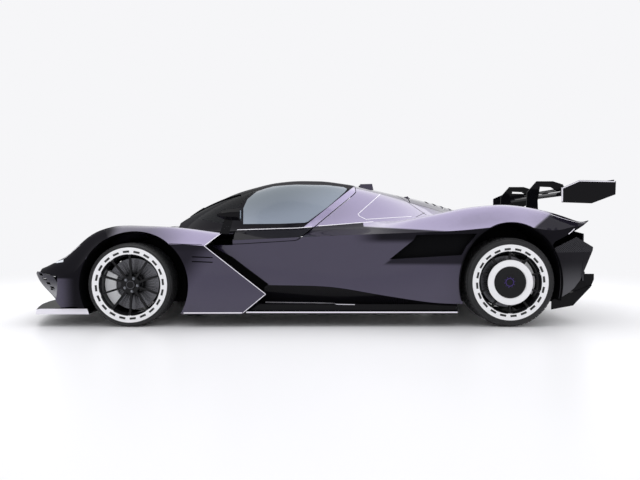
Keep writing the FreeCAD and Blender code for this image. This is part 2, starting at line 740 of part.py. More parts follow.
def canopy_profile(x):
    shoulder = SHOULDER(x)
    belt = BELT(x)
    roof = [ROOF_RAIL(x), ROOF_TURN(x)]
    foot = CANOPY_FOOT(x)
    low = (shoulder[0] + (foot[0] - shoulder[0]) * 0.3, shoulder[1] + (foot[1] - shoulder[1]) * 0.3)
    waist = [left(low), left(shoulder)]
    ledge = [left(p) for p in bowed(shoulder, belt, 0, 3)]
    top = [left(belt)] + [left(p) for p in roof] + [ROOF_CENTRE(x)] + roof[::-1] + [belt]
    return [waist, ledge, lined(top, 21), [(-y, z) for y, z in reversed(ledge)], [low, shoulder][::-1]]


canopy_stations = spread(-1240, -640, 9)[:-1] + spread(-640, 345, 10)
canopy_side = side_prism([(-1300, 1400), (-1300, 500), (-640, 500)] + CANOPY_CUT + [(334, 1400)])
screen_keep = plan_prism(both_sides(SCREEN_FOOT + [(-640, 1000), (500, 1000)]))
canopy_raw = skin(canopy_stations, canopy_profile, FRAME).common(canopy_side).common(screen_keep)
glass_raw = skin(canopy_stations, canopy_profile, GLASS).common(canopy_side).common(screen_keep)
window_side = [(-585, 775), (-596, 906), (-568, 983), (-497, 1047), (-428, 1073), (-354, 1093), (-170, 1106),
               (94, 1102), (235, 1085), (262, 1070), (240, 1040), (100, 915), (-60, 795), (-84, 786), (-290, 777)]
side_hole = side_prism(window_side)
side_slab = box(-2000, 2000, -2000, -out(300), 0, 2000)
side_hole = side_hole.common(side_slab)
window = glass_raw.common(side_hole)
screen_plan = both_sides([(-1165, 0), (-1110, 250), (-1035, 375), (-950, 455), (-850, 525), (-735, 575), (-600, 480),
                          (-470, 400), (-455, 200), (-450, 0)])
screen_hole = plan_prism(screen_plan)
windscreen = glass_raw.common(screen_hole)
frame = canopy_raw.cut(side_hole).cut(mirrored(side_hole)).cut(screen_hole)
feature("windscreen", windscreen)
feature("side_windows", Part.makeCompound([window, mirrored(window)]))

# Flanks with the rear wings.
SILL_TOP = 165.0


def flank_side(x):
    return bowed(left(FLANK_FOOT(x)), left(SHOULDER(x)), 6)


def rear_profile(x):
    belt = BELT(x)
    top = lined([left(SHOULDER(x)), left(REAR_CREST(x)), left((belt[0] + 0.2, belt[1]))], 7)
    return [flank_side(x), top]


def skirt_profile(x):
    """The black skirt that tucks in below the foot of the flank."""
    foot = FLANK_FOOT(x)
    return [[left((foot[0] - 58, min(SILL_TOP - 4, foot[1] - 12))), left((foot[0] - 1, foot[1] - 0.5))]]


flank_stations = spread(-880, 337, 9)[:-1] + spread(337, 2125, 14)
slip = MOVING * 0.625
canopy_room = side_prism([(-1300, 1400), (-1300, 610), (-640 - slip, 610)]
                         + [(x + slip, z - slip) for x, z in CANOPY_CUT] + [(336 + slip, 1400)])
flank_front = side_prism([(-1000, 0), (-1000, 1300), (-886, 1300), (-886, 640), (-640, 520), (-357, 312),
                          (-392, 290), (-392, 0)])
tail_under = side_prism([(1780, 620), (1796, 641), (1992, 734), (2123, 806), (2123, 1400), (2300, 1400),
                         (2300, 0), (1780, 0)])
flank = skin(flank_stations, rear_profile).cut(canopy_room).cut(flank_front).cut(rear_arch).cut(tail_under)


# The intake in the flank runs back to just ahead of the rear wheel opening.
INTAKE = [(560, 507), (741, 655), (762, 692), (1206, 702), (1180, 668), (1128, 606), (1094, 541), (640, 512)]
INTAKE_RIM = [(551, 502), (737, 659), (758, 697), (1212, 707), (1185, 668), (1133, 604), (1099, 536), (640, 506)]
opening = side_prism(INTAKE, -1500, 0)
intake = tray(flank_stations[8:17], lambda x: [flank_side(x)], opening, side_prism(INTAKE_RIM, -1500, 0), 62)
flank = flank.cut(opening)
feature("flank_left", flank)
feature("flank_right", mirrored(flank))


def deck_profile(x):
    belt = BELT(x)
    edge = (belt[0] - 0.2, belt[1])
    roof = [ROOF_RAIL(x), ROOF_TURN(x)]
    return [lined([left(edge)] + [left(p) for p in roof] + [ROOF_CENTRE(x)] + roof[::-1] + [edge], 21)]


deck_raw = skin(spread(-60, 337, 4)[:-1] + spread(337, 2125, 14), deck_profile).cut(canopy_room)
LID = [(800, 400), (1690, 330)]
lid_keep = plan_prism(both_sides(LID))
# The middle of the lid stands above its hinge line, so the gap ahead of it is wider there.
lid_room = plan_prism(both_sides([(792 - MOVING, 0), (792 - MOVING, 120), (799 - MOVING, 196),
                                  (800 - MOVING, 400 + MOVING), (1690 + MOVING, 330 + MOVING)]))
PIN = 3.0


def deck_height(x, y):
    """Height of the rear deck at a standard place."""
    return follow(canopy_half(x))(abs(y))


def hinge(x, y, z, fixed_leaf, moving_leaf, radius, width):
    """Both halves of a hinge on an axis along Y: lugs on the fixed leaf, a pin on the moving one."""
    x = along(x)
    y = out(y)
    z = up(z)
    lugs = []
    for side in (-1, 1):
        edge = y + side * width / 2
        inner = y + side * width / 6
        ear = rod(V(x, min(edge, inner), z), V(x, max(edge, inner), z), radius)
        leaf = side_prism(fixed_leaf, min(edge, inner), max(edge, inner))
        lugs.append(fused([ear, leaf]).cut(rod(V(x, y - width, z), V(x, y + width, z), PIN + 0.7)))
    gap = width / 6 - 0.8
    knuckle = rod(V(x, y - gap, z), V(x, y + gap, z), radius)
    pin = rod(V(x, y - width / 2, z), V(x, y + width / 2, z), PIN)
    return lugs, fused([knuckle, pin, side_prism(moving_leaf, y - gap, y + gap)])


deck = deck_raw.cut(lid_room)
lid = deck_raw.common(lid_keep)
for y in (-230, 230):
    z = deck_height(796, y) + 6.5
    lugs, knuckle = hinge(796, y, z, [(770, deck_height(770, y) - 2), (770, deck_height(770, y) + 2),
                                      (796, z + 3), (796, z - 5), (788, deck_height(788, y) - 2)],
                          [(822, deck_height(822, y) - 2), (822, deck_height(822, y) + 2), (796, z + 3),
                           (796, z - 5), (804, deck_height(804, y) - 2)], 6, 60)
    room = box(along(796) - 8, along(796) + 8, out(y) - 31, out(y) + 31, up(z) - 30, up(z) + 30)
    deck = fused([deck.cut(room)] + lugs)
    lid = fused([lid.cut(room), knuckle])
# Slots over the engine, and a ram scoop on the roof just behind the canopy.
for x in spread(960, 1240, 5):
    for half in ([(x, -250), (x, -20)], [(x, 20), (x, 250)]):
        (x0, y0), (x1, y1) = half
        lid = lid.cut(plan_prism([(x0, y0), (x0, y1), (x0 + 26, y1), (x0 + 26, y0)]))
scoop = side_prism([(392, 1080), (392, 1131), (498, 1134), (512, 1070)], -out(150), out(150))
mouth = side_prism([(380, 1060), (380, 1125), (480, 1127), (494, 1060)], -out(144), out(144))
scoop = scoop.cut(mouth).cut(skin(spread(337, 600, 4), deck_profile, 120))
deck = fused([deck, scoop])
feature("rear_deck", deck)
feature("engine_cover", lid)

# Tub, sills, floor and the tail.
tub = box(along(-1100), along(380), -out(700), out(700), up(FLOOR), up(600))
tub = tub.cut(box(along(-1040), along(310), -out(630), out(630), up(FLOOR + 31), up(700)))
for side in (-1, 1):
    tub = tub.cut(plan_prism([(-1110, side * 520), (-1110, side * 720), (-985, side * 720)]))
firewall = box(along(310), along(380), -out(420), out(420), up(500), up(980))
nose_side = [(-2050, 108), (-2050, 290), (-1500, 480), (-1100, 520), (-1100, 108)]
hollow_side = [(-2000, 140), (-2000, 280), (-1490, 460), (-1101, 485), (-1101, 140)]
nose_box = side_prism(nose_side, -out(300), out(300)).cut(side_prism(hollow_side, -out(270), out(270)))
rear_box = box(along(380), along(1640), -out(260), out(260), up(105), up(170))
shelves = []
for side in (-1, 1):
    shelves.append(box(along(-620), along(100), min(side * out(700), side * out(838)),
                       max(side * out(700), side * out(838)), up(560), up(598)))
tub = fused([tub, firewall, nose_box, rear_box] + shelves)
# The canopy turns about pins below the foot of the screen.
CANOPY_AXIS = (-1196, 752)
for y in (-80, 80):
    x, z = CANOPY_AXIS
    frame = frame.cut(box(along(x - 25), along(x + 26), out(y) - 38, out(y) + 38, 0, up(z + 18)))
    lugs, knuckle = hinge(x, y, z, [(x - 9, z), (x + 9, z), (x + 40, 500), (x - 40, 490)],
                          [(x - 2, z - 8), (x - 2, z + 8), (-1160, 788), (-1130, 800), (-1130, 780)], 9, 60)
    tub = fused([tub] + lugs)
    frame = fused([frame, knuckle])
feature("tub", tub)
feature("canopy_frame", frame)


sill = extruded_x([(-700, FLOOR), (-985, FLOOR), (-985, FLOOR + 20), (-952, FLOOR + 27), (-940, SILL_TOP),
                   (-700, SILL_TOP)], -960, 1075)
sill = sill.cut(side_prism([(-960, FLOOR + 21), (-960, 400), (-300, 400), (-541, FLOOR + 21)], -out(1100), -out(900)))
skirt = skin(spread(-400, 1090, 12), skirt_profile, 3).cut(rear_arch)
skirt = skirt.cut(side_prism([(-1000, 0), (-1000, 700), (-357, 312), (-392, 290), (-392, 0)])).cut(flank)
# Round pads for a jack below the sills, 8 mm proud.
JACK_PADS = [(-900, 825), (980, 825)]
jack_pads = [rod(V(along(x), -out(y), up(FLOOR) - 8), V(along(x), -out(y), up(FLOOR + 13)), 38)
             for x, y in JACK_PADS]
sill = fused([sill, skirt.cut(sill)] + jack_pads)
feature("sills", Part.makeCompound([sill, mirrored(sill)]))

corner = skin(spread(1780, 2160, 6), lambda x: [flank_side(x)])
corner_keep = side_prism([(1791, 593), (1982, 675), (2143, 597), (2140, 570), (2032, 350), (1957, 268),
                          (1795, 200)])
corner = corner.common(corner_keep).cut(rear_arch)
FASCIA_X = 2044
fascia_half = (FLANK_FOOT(FASCIA_X)[0] + SHOULDER(FASCIA_X)[0]) / 2 + 3.5
fascia_corners = [(-fascia_half, 340), (-fascia_half, 700), (-560, 735), (560, 735), (fascia_half, 700),
                  (fascia_half, 340)]
fascia = extruded_x(fascia_corners, FASCIA_X, FASCIA_X + 8)
for y in (-120, 120):
    fascia = fascia.cut(rod(V(along(2000), y, up(560)), V(along(2200), y, up(560)), 45.3))
feature("tail_panel", fused([fascia, corner, mirrored(corner)]))

diffuser = side_prism([(1500, FLOOR), (1640, FLOOR), (2150, 292), (2150, 300), (1640, FLOOR + 8),
                       (1500, FLOOR + 8)], -out(820), out(820))
narrow = [(1400, 0), (1400, 660), (1830, 660), (1845, 830), (2300, 830), (2300, 0)]
fins = [diffuser]
for y in (-810, -480, -160, 152, 472, 802):
    fins.append(side_prism([(1650, FLOOR), (1833, 105), (2011, 138), (2146, 281), (2172, 342), (2172, 386),
                            (2100, 386), (2100, 283), (1650, 103)], out(y), out(y) + 8))
feature("diffuser", fused(fins).common(plan_prism(both_sides(narrow))))


# Liners of the wheel openings, with an inner wall that lets the arms through, and the trays of the air openings.
def arch_liner(shell, wall, window, skins):
    """A liner cut to the panels round it; what falls outside them is dropped."""
    liner = fused([shell, wall.cut(window)])
    for panel in skins:
        liner = liner.cut(panel)
    return max(liner.Solids, key=lambda solid: solid.Volume)


LINER_IN = 605.0
arch_z = FRONT_HUB_Z - 4
rings = [Part.makeCylinder(FRONT_ARCH_R + r, 410, V(FRONT_ARCH_X, -LINER_IN - 410, arch_z), V(0, 1, 0))
         for r in (7, 4)]
wall = Part.makeCylinder(FRONT_ARCH_R + 5, 3, V(FRONT_ARCH_X, -LINER_IN, arch_z), V(0, 1, 0))
above = box(-5000, 5000, -2000, 0, 150, 2000)
window = box(FRONT_AXLE - 215, FRONT_AXLE + 215, -1000, 0, 0, up(480))
skins = [skin(wing_stations, wing_profile, SKIN + 0.6), skin(hood_stations, hood_profile, SKIN + 0.6), tub]
front_liner = arch_liner(rings[0].cut(rings[1]).common(above), wall.common(above), window, skins)

above = box(-5000, 5000, -2000, 0, 200, 2000)
shell = oval_prism(7, -1015, -560).cut(oval_prism(4, -1015, -560)).common(above)
window = box(REAR_AXLE - 230, REAR_AXLE + 230, -1000, 0, 0, up(520))
corner_stations = spread(1780, 2160, 6)
skins = [skin(flank_stations, rear_profile, SKIN + 0.6),
         skin(corner_stations, lambda x: [flank_side(x)], SKIN + 0.6)]
rear_liner = arch_liner(shell, oval_prism(5, -563, -560).common(above), window, skins)
liners = Part.makeCompound([front_liner, rear_liner, hood_tray, intake])
feature("liners", Part.makeCompound([liners, mirrored(liners)]))

# Wing.
SPAN = float(d.wing_span) / 2
plate_t = float(d.endplate_thickness)
plane_outline = lined([(2190, 1062), (2090, 1052), (2010, 1034), (1968, 1016), (1958, 1004), (1972, 999)], 9)
plane_outline += lined([(1972, 999), (2030, 1012), (2100, 1034), (2190, 1058)], 7)[1:]
plane = side_prism(plane_outline, -SPAN, SPAN)
flap = side_prism([(2168, 1071), (2172, 1080), (2200, 1088), (2274, 1098), (2274, 1112), (2277, 1112), (2277, 1094),
                   (2210, 1078), (2180, 1069)], -SPAN, SPAN)
plate = side_prism([(1876, 939), (1876, 1050), (2009, 1108), (2288, 1101), (2285, 999), (2105, 931)],
                   -SPAN - plate_t, -SPAN)
brackets = []
for y in (-600, -225, 213, 588):
    brackets.append(side_prism([(2120, 1042), (2160, 1078), (2200, 1086), (2200, 1062), (2180, 1055)],
                               out(y), out(y) + 12))
feature("wing", fused([plane, flap, plate, mirrored(plate)] + brackets))
pylon = side_prism([(1783, 700), (1797, 1046), (1878, 1140), (2016, 1140), (2101, 1113), (2120, 1067),
                    (2060, 1052), (2000, 1090), (1906, 1094), (1887, 975), (1900, 700)],
                   -float(d.pylon_spacing) / 2, -float(d.pylon_spacing) / 2 + float(d.pylon_thickness))
under_deck = skin(spread(1600, 2125, 5), deck_profile, 200)
pylon = pylon.cut(plane).cut(under_deck).cut(deck)
feature("wing_pylons", Part.makeCompound([pylon, mirrored(pylon)]))

feature("headlights", Part.makeCompound([lamp_front, mirrored(lamp_front)]))
lamp_rear = box(along(FASCIA_X + 8), along(FASCIA_X + 16), -out(820), -out(300), up(640), up(655))
feature("tail_lights", Part.makeCompound([lamp_rear, mirrored(lamp_rear)]))
rings = []
for x, y0, y1, z0, z1 in ((-744, 935, 950, 836, 848), (-700, 900, 978, 812, 874), (-640, 882, 1000, 802, 889),
                          (-562, 878, 1006, 799, 893)):
    cut_y = (y1 - y0) * 0.22
    cut_z = (z1 - z0) * 0.3
    corners = [(y0 + cut_y, z0), (y1 - cut_y, z0), (y1, z0 + cut_z), (y1, z1 - cut_z), (y1 - cut_y, z1),
               (y0 + cut_y, z1), (y0, z1 - cut_z), (y0, z0 + cut_z)]
    rings.append(Part.makePolygon([V(along(x), -out(y), up(z)) for y, z in corners + corners[:1]]))
housing = Part.makeLoft(rings, True, True)
housing = housing.cut(box(along(-568), along(-500), -out(994), -out(890), up(811), up(881)))
stalk = side_prism([(-742, 690), (-668, 690), (-628, 822), (-690, 830)], -12, 0)
stalk.rotate(V(0, 0, up(690)), V(1, 0, 0), 22)
stalk.translate(V(0, -out(852), 0))
mirror = fused([housing, stalk]).cut(skin(wing_stations[8:16], wing_profile, 60))
mirror = max(mirror.Solids, key=lambda solid: solid.Volume)
feature("mirrors", Part.makeCompound([mirror, mirrored(mirror)]))

# Inside of the cabin.
shell_side = [(-330, 128.3), (-330, 196), (40, 176), (118, 300), (268, 880), (300, 880), (160, 300), (110, 128.3)]
shell = side_prism(shell_side, -out(560), -out(90))
bolster_side = [(-300, 170), (-280, 250), (-60, 262), (40, 330), (150, 720), (228, 735), (60, 190)]
for y in (-560, -125):
    shell = fused([shell, side_prism(bolster_side, out(y), out(y) + 35)])
base_pad = side_prism([(-318, 197), (-318, 232), (-20, 214), (36, 200), (40, 177.8)], -out(522), -out(128))
back_pad = side_prism([(44, 180), (112, 300), (228, 738), (194, 744), (74, 302), (39, 206)], -out(522), -out(128))
head_pad = side_prism([(228, 745), (263, 872), (232, 880), (196, 752)], -out(430), -out(220))
seat = [shell, base_pad, back_pad.cut(base_pad), head_pad]
seat = Part.makeCompound([solid for piece in seat for solid in piece.Solids])
feature("seats", Part.makeCompound([seat, mirrored(seat)]))
DRIVER_Y = -out(330)
WHEEL_CENTRE = V(along(-500), DRIVER_Y, up(615))
COLUMN = V(math.cos(math.radians(20)), 0, math.sin(math.radians(20)))
desk = box(along(-860), along(-650), -out(630), out(630), up(470), up(596))
cowl = box(along(-850), along(-660), -out(500), out(500), up(590), up(640))
column = rod(WHEEL_CENTRE - COLUMN * 30.3, WHEEL_CENTRE - COLUMN * 190, 20)
feature("dashboard", fused([desk, cowl, column]))
engine = box(along(480), along(1080), -240, 240, up(170), up(650))
gearbox = box(along(1080), along(1660), -GEARBOX_HALF, GEARBOX_HALF, up(170), up(480))
feature("engine_block", fused([engine, gearbox]))
pipe = rod(V(along(1080), -120, up(560)), V(along(2062), -120, up(560)), 45)
feature("exhaust", Part.makeCompound([pipe, mirrored(pipe)]))

ring = Part.makeTorus(float(d.steering_wheel_radius), 14)
ring = fused([ring, Part.makeBox(300, 30, 16, V(-150, -15, -8)), Part.makeCylinder(38, 40, V(0, 0, -30))])
feature("steering_wheel", ring, FreeCAD.Placement(WHEEL_CENTRE, FreeCAD.Rotation(V(0, 1, 0), 70)))

# Suspension.


def wishbone(x, y_ball, z_ball, y_frame, z_frame, half, radius):
    """Two bars from the ball joint at the upright to two bushes on the frame."""
    ball = V(x, -y_ball, z_ball)
    shapes = [Part.makeSphere(BALL, ball)]
    for dx in (-half, half):
        bush = V(x + dx, -y_frame - 14.3, z_frame)
        shapes.append(rod(ball, bush, radius))
        shapes.append(Part.makeSphere(14, bush))
    return fused(shapes)


reach = BALL_RISE + BALL + 0.3
arms = [wishbone(FRONT_AXLE, KINGPIN_Y, FRONT_HUB_Z + reach, out(300), up(400), 170, 10),
        wishbone(FRONT_AXLE, KINGPIN_Y, FRONT_HUB_Z - reach, out(300), up(180), 170, 10),
        wishbone(REAR_AXLE, REAR_UPRIGHT_Y, REAR_HUB_Z + reach, GEARBOX_HALF, up(440), 150, 11),
        wishbone(REAR_AXLE, REAR_UPRIGHT_Y, REAR_HUB_Z - reach, GEARBOX_HALF, up(200), 150, 11)]
arms = Part.makeCompound(arms)
feature("suspension_arms", Part.makeCompound([arms, mirrored(arms)]))
upright = upright_shape(REAR_AXLE, REAR_HUB_Z, REAR_DISC_Y, REAR_AXLE + 160, SHAFT_R + 22.3)
feature("rear_uprights", Part.makeCompound([upright, mirrored(upright)]))
rear_caliper = caliper_shape(REAR_DISC_Y, REAR_AXLE, REAR_HUB_Z, 40)
feature("rear_calipers", Part.makeCompound([rear_caliper, mirrored(rear_caliper)]))

doc.recompute()
os.makedirs("parts", exist_ok=True)
for obj in doc.Objects:
    if "Invalid" in obj.State or "Error" in obj.State:
        raise RuntimeError("%s is not made" % obj.Label)
for obj in parts:
    if obj.Shape.isNull() or not obj.Shape.isValid():
        raise RuntimeError("%s has a bad shape" % obj.Label)
for obj in parts:
    obj.Shape.exportStep("parts/%s.step" % obj.Label)
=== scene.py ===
import json
import math

import bmesh
import bpy
import numpy as np
from mathutils import Euler, Matrix, Vector
from mathutils.bvhtree import BVHTree
from mathutils.kdtree import KDTree

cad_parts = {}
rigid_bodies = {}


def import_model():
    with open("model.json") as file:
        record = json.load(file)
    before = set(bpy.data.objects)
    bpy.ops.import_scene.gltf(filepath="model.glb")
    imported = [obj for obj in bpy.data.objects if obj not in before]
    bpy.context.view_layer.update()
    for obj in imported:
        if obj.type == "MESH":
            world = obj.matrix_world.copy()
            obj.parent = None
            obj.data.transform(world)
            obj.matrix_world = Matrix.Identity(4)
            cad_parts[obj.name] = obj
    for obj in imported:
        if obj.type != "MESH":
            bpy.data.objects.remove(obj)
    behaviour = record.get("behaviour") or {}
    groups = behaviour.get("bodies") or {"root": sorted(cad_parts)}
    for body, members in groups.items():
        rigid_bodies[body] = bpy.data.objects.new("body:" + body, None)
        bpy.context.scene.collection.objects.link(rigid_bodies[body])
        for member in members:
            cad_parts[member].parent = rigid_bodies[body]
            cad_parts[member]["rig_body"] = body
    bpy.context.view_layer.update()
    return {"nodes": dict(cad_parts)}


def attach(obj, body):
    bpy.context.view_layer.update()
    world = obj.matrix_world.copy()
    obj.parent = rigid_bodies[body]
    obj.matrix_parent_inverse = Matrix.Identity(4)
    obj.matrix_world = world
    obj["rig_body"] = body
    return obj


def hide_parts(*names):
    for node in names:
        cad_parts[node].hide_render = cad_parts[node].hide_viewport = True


for leftover in list(bpy.data.objects):
    bpy.data.objects.remove(leftover)
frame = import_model()
NODES = frame["nodes"]


# A socket of a node tree that can be used in Python expressions.
class Value:
    def __init__(self, graph, socket):
        self.graph = graph
        self.socket = socket

    def math(self, operation, *others):
        values = dict(enumerate((self,) + others))
        return self.graph.node("ShaderNodeMath", {"operation": operation}, values)

    def __add__(self, other):
        return self.math("ADD", other)

    def __sub__(self, other):
        return self.math("SUBTRACT", other)

    def __mul__(self, other):
        return self.math("MULTIPLY", other)

    def __truediv__(self, other):
        return self.math("DIVIDE", other)

    def __rsub__(self, other):
        return (self * -1.0) + other

    __radd__ = __add__
    __rmul__ = __mul__

    def __lt__(self, other):
        return self.math("LESS_THAN", other)

    def __gt__(self, other):
        return self.math("GREATER_THAN", other)

    def floor(self):
        return self.math("FLOOR")

    def fract(self):
        return self.math("FRACT")

    def wrap(self, period):
        return self.math("FLOORED_MODULO", period)

    def size(self):
        return self.math("ABSOLUTE")

    def ramp(self, low, high):
        """0 below low, 1 above high and smooth between."""
        smooth = {"interpolation_type": "SMOOTHSTEP"}
        return self.graph.node("ShaderNodeMapRange", smooth, {0: self, 1: low, 2: high})

    def blend(self, first, second):
        """A colour between two colours, by this value."""
        return self.graph.node("ShaderNodeMix", {"data_type": "RGBA"}, {0: self, 6: first, 7: second}, 2)

    def mix(self, first, second):
        """A number between two numbers, by this value."""
        return self.graph.node("ShaderNodeMix", None, {0: self, 2: first, 3: second})


class Graph:
    """A node tree: of a material, of the world, or of geometry that repeats."""

    def __init__(self, name, geometry=False, owner=None):
        self.inputs = {}
        if geometry:
            self.tree = bpy.data.node_groups.new(name, "GeometryNodeTree")
            self.tree.interface.new_socket("Geometry", in_out="OUTPUT", socket_type="NodeSocketGeometry")
            self.source = self.tree.nodes.new("NodeGroupInput")
            return
        self.owner = owner or bpy.data.materials.new(name)
        self.owner.use_nodes = True
        self.tree = self.owner.node_tree
        self.tree.nodes.clear()

    def node(self, kind, settings=None, values=None, output=0):
        node = self.tree.nodes.new(kind)
        for key, value in (settings or {}).items():
            setattr(node, key, value)
        for key, value in (values or {}).items():
            if isinstance(value, Value):
                self.tree.links.new(value.socket, node.inputs[key])
            else:
                node.inputs[key].default_value = value
        return Value(self, node.outputs[output]) if len(node.outputs) else node

    def ask(self, name, kind, value):
        """A named input of a geometry tree, with the value it gets."""
        socket = self.tree.interface.new_socket(name, in_out="INPUT", socket_type="NodeSocket" + kind)
        self.inputs[socket.identifier] = value
        return Value(self, self.source.outputs[name])

    def spot(self):
        """The object coordinates, whole."""
        return self.node("ShaderNodeTexCoord", output="Object")

    def place(self):
        """The object coordinates as x, y and z."""
        spot = self.spot()
        return [self.node("ShaderNodeSeparateXYZ", None, {0: spot}, i) for i in range(3)]

    def noise(self, scale, detail=2.0, rough=0.5, vector=None):
        values = {"Scale": scale, "Detail": detail, "Roughness": rough, "Vector": vector or self.spot()}
        return self.node("ShaderNodeTexNoise", None, values)

    def bump(self, height, strength, distance):
        values = {"Height": height, "Strength": strength, "Distance": distance}
        return self.node("ShaderNodeBump", None, values)

    def finish(self, **values):
        """The material, from the values of the sockets of its shader."""
        inputs = {key.replace("_", " "): value for key, value in values.items()}
        shader = self.node("ShaderNodeBsdfPrincipled", None, inputs)
        self.node("ShaderNodeOutputMaterial", None, {"Surface": shader})
        return self.owner

    def solid(self, geometry, finish):
        """The mesh that a geometry tree makes, its instances made real and its finish set."""
        real = self.node("GeometryNodeRealizeInstances", None, {0: geometry})
        chosen = self.ask("Finish", "Material", finish)
        painted = self.node("GeometryNodeSetMaterial", None, {0: real, "Material": chosen})
        self.node("NodeGroupOutput", None, {0: painted})
        holder = linked("holder", bpy.data.meshes.new("holder"))
        modifier = holder.modifiers.new("made", "NODES")
        modifier.node_group = self.tree
        for identifier, value in self.inputs.items():
            modifier[identifier] = value
        bpy.context.view_layer.update()
        ready = holder.evaluated_get(bpy.context.evaluated_depsgraph_get())
        mesh = bpy.data.meshes.new_from_object(ready)
        bpy.data.objects.remove(holder)
        return mesh


def tone(red, green, blue):
    """A colour socket's value from screen levels of 0 to 255."""
    levels = []
    for level in (red, green, blue):
        share = level / 255
        levels.append(share / 12.92 if share <= 0.04045 else ((share + 0.055) / 1.055) ** 2.4)
    return tuple(levels) + (1.0,)


# Finishes. Each pair of tones is what a noise mixes; places and widths of ramps are in metres.
# Near black, used as painted shade and as the black round the glass; the paint's own tone; and a pale painted
# highlight.
BLACK_AND_PAINTED_SHADE = (tone(13, 12, 17), tone(19, 17, 24))
MID = (tone(52, 47, 66), tone(66, 60, 83))
PAINTED_HIGHLIGHT_TONES = (tone(132, 124, 153), tone(146, 137, 167))


def body_paint(name, depth=None):
    """Purple metallic paint with flakes under a clear coat; a depth, where given, paints light and shade into
    it: 0 is painted shade near black, 0.5 the plain paint and 1 a pale painted highlight.
    """
    g = Graph(name)
    x, y, z = g.place()
    flake = g.node("ShaderNodeSeparateColor", None,
                   {0: g.node("ShaderNodeTexVoronoi", None, {"Vector": g.spot(), "Scale": 900.0}, "Color")})
    mottle = flake * 0.5 + g.noise(1.7, 3.0) * 0.5
    colour, metal, coat = mottle.blend(*MID), 0.85, 1.0
    if depth:
        # Painted shade and painted highlight: depth picks between near black, plain and pale paint, and the
        # painted shade also loses metal and coat.
        level = depth(x, y, z) * 2.0
        colour = (level - 1.0).blend(level.blend(mottle.blend(*BLACK_AND_PAINTED_SHADE), colour), mottle.blend(*PAINTED_HIGHLIGHT_TONES))
        metal = level.mix(0.05, 0.85)
        coat = level.mix(0.12, 1.0)
    dust = g.noise(9.0, 6.0, 0.7) * (0.36 - z).ramp(0.0, 0.3)
    return g.finish(Base_Color=colour, Metallic=metal, Roughness=flake * 0.06 + dust * 0.2 + 0.3,
                    Coat_Weight=coat, Coat_Roughness=0.03, Coat_IOR=1.5, Specular_IOR_Level=0.0,
                    Normal=g.bump(g.noise(160.0, 1.0), 0.02, 0.0004))


def wing_top_painted_shading(x, y, z):
    """Painted shade near black at the nose, painted highlight pale at the tip behind the wheel."""
    over_wheel = (x + 1.56).ramp(0.0, 0.12)
    towards_tip = (x + 1.42).ramp(0.0, 0.55)
    return over_wheel * 0.4 + towards_tip * 0.42


def wing_side_painted_shading(x, y, z):
    """Painted shade near black round the arch and on the nose, darker above the fold; lighter, plain paint on
    the blade and at the foot of the nose.
    """
    arch = (z - x * 1.3 - 1.505).ramp(-0.05, 0.25) * (x > -1.3) * 0.85
    fold = (z - 0.56).ramp(0.0, 0.03) * 0.35
    foot = (0.375 - z).ramp(0.0, 0.02) * (-1.78 - x).ramp(0.0, 0.14)
    nose = (x < -1.7) * (1.0 - foot)
    return (1.0 - arch) * (1.0 - fold) * (1.0 - nose) * 0.5


def canopy_painted_shading(x, y, z):
    """Near black round the glass; painted shade near black on the ledge below the belt and a pale painted
    highlight behind the side windows; plain paint below the ledge.
    """
    belt = (x * 0.048 + 0.7515) + (x > 0.0) * x * 0.06
    above = z > belt
    ledge_foot = x * 0.045 + 0.677
    below = (1.0 - above) * (z < ledge_foot) * 0.5
    behind_glass = (z - x * 0.8208) < 0.818
    return above * behind_glass * 0.95 + below


def flank_top_painted_shading(x, y, z):
    """Painted shade near black on the shoulder and on the tail, a pale painted highlight between them on the
    crest.
    """
    wedge = (z + x * 0.06 - 0.7785).ramp(-0.006, 0.006) * (x > 0.392)
    before_tail = (1.6805 + (z - 0.766) * 1.57 - x).ramp(-0.02, 0.02)
    return wedge * before_tail * 0.76 + 0.07


def flank_side_painted_shading(x, y, z):
    """Lighter, plain paint on the door side, a little darker towards its back; painted shade near black under
    the shoulder, round the duct and behind the wheel.
    """
    above = (z - 0.615).ramp(0.0, 0.05) * (x - 0.28).ramp(0.0, 0.25)
    duct = (x - z * 1.333 + 0.108).ramp(0.0, 0.03) * (z - 0.455).ramp(0.0, 0.03)
    behind = (x - 1.3).ramp(0.0, 0.1)
    door = 0.5 - (x - 0.9).ramp(0.0, 0.3) * 0.09
    return (1.0 - above * 0.95) * (1.0 - duct * 0.85) * (1.0 - behind * 0.9) * door


def hood_painted_shading(x, y, z):
    """Painted shade, near black at the nose and lighter towards the screen."""
    return (x + 1.75).ramp(0.0, 0.5) * 0.34 + 0.08


def deck_painted_shading(x, y, z):
    """A pale painted highlight on the pillars at the sides; the deck between them darker, near the plain
    paint.
    """
    return (y.size() - 0.33).ramp(0.0, 0.14) * 0.36 + 0.46


TOWS = 260.0


def carbon():
    """Carbon fibre in a twill weave, with so many tows to the metre."""
    g = Graph("carbon")
    x, y, z = g.place()
    warp = ((x + z * 0.35) * TOWS).floor()
    weft = ((y + z * 0.94) * TOWS).floor()
    twill = ((warp + weft) * 0.25).fract() < 0.5
    return g.finish(Base_Color=twill.blend(tone(9, 9, 11), tone(17, 16, 20)), Specular_IOR_Level=0.0,
                    Roughness=twill * 0.12 + 0.3, Coat_Weight=0.22, Coat_Roughness=0.06,
                    Normal=g.bump(twill, 0.12, 0.0003))


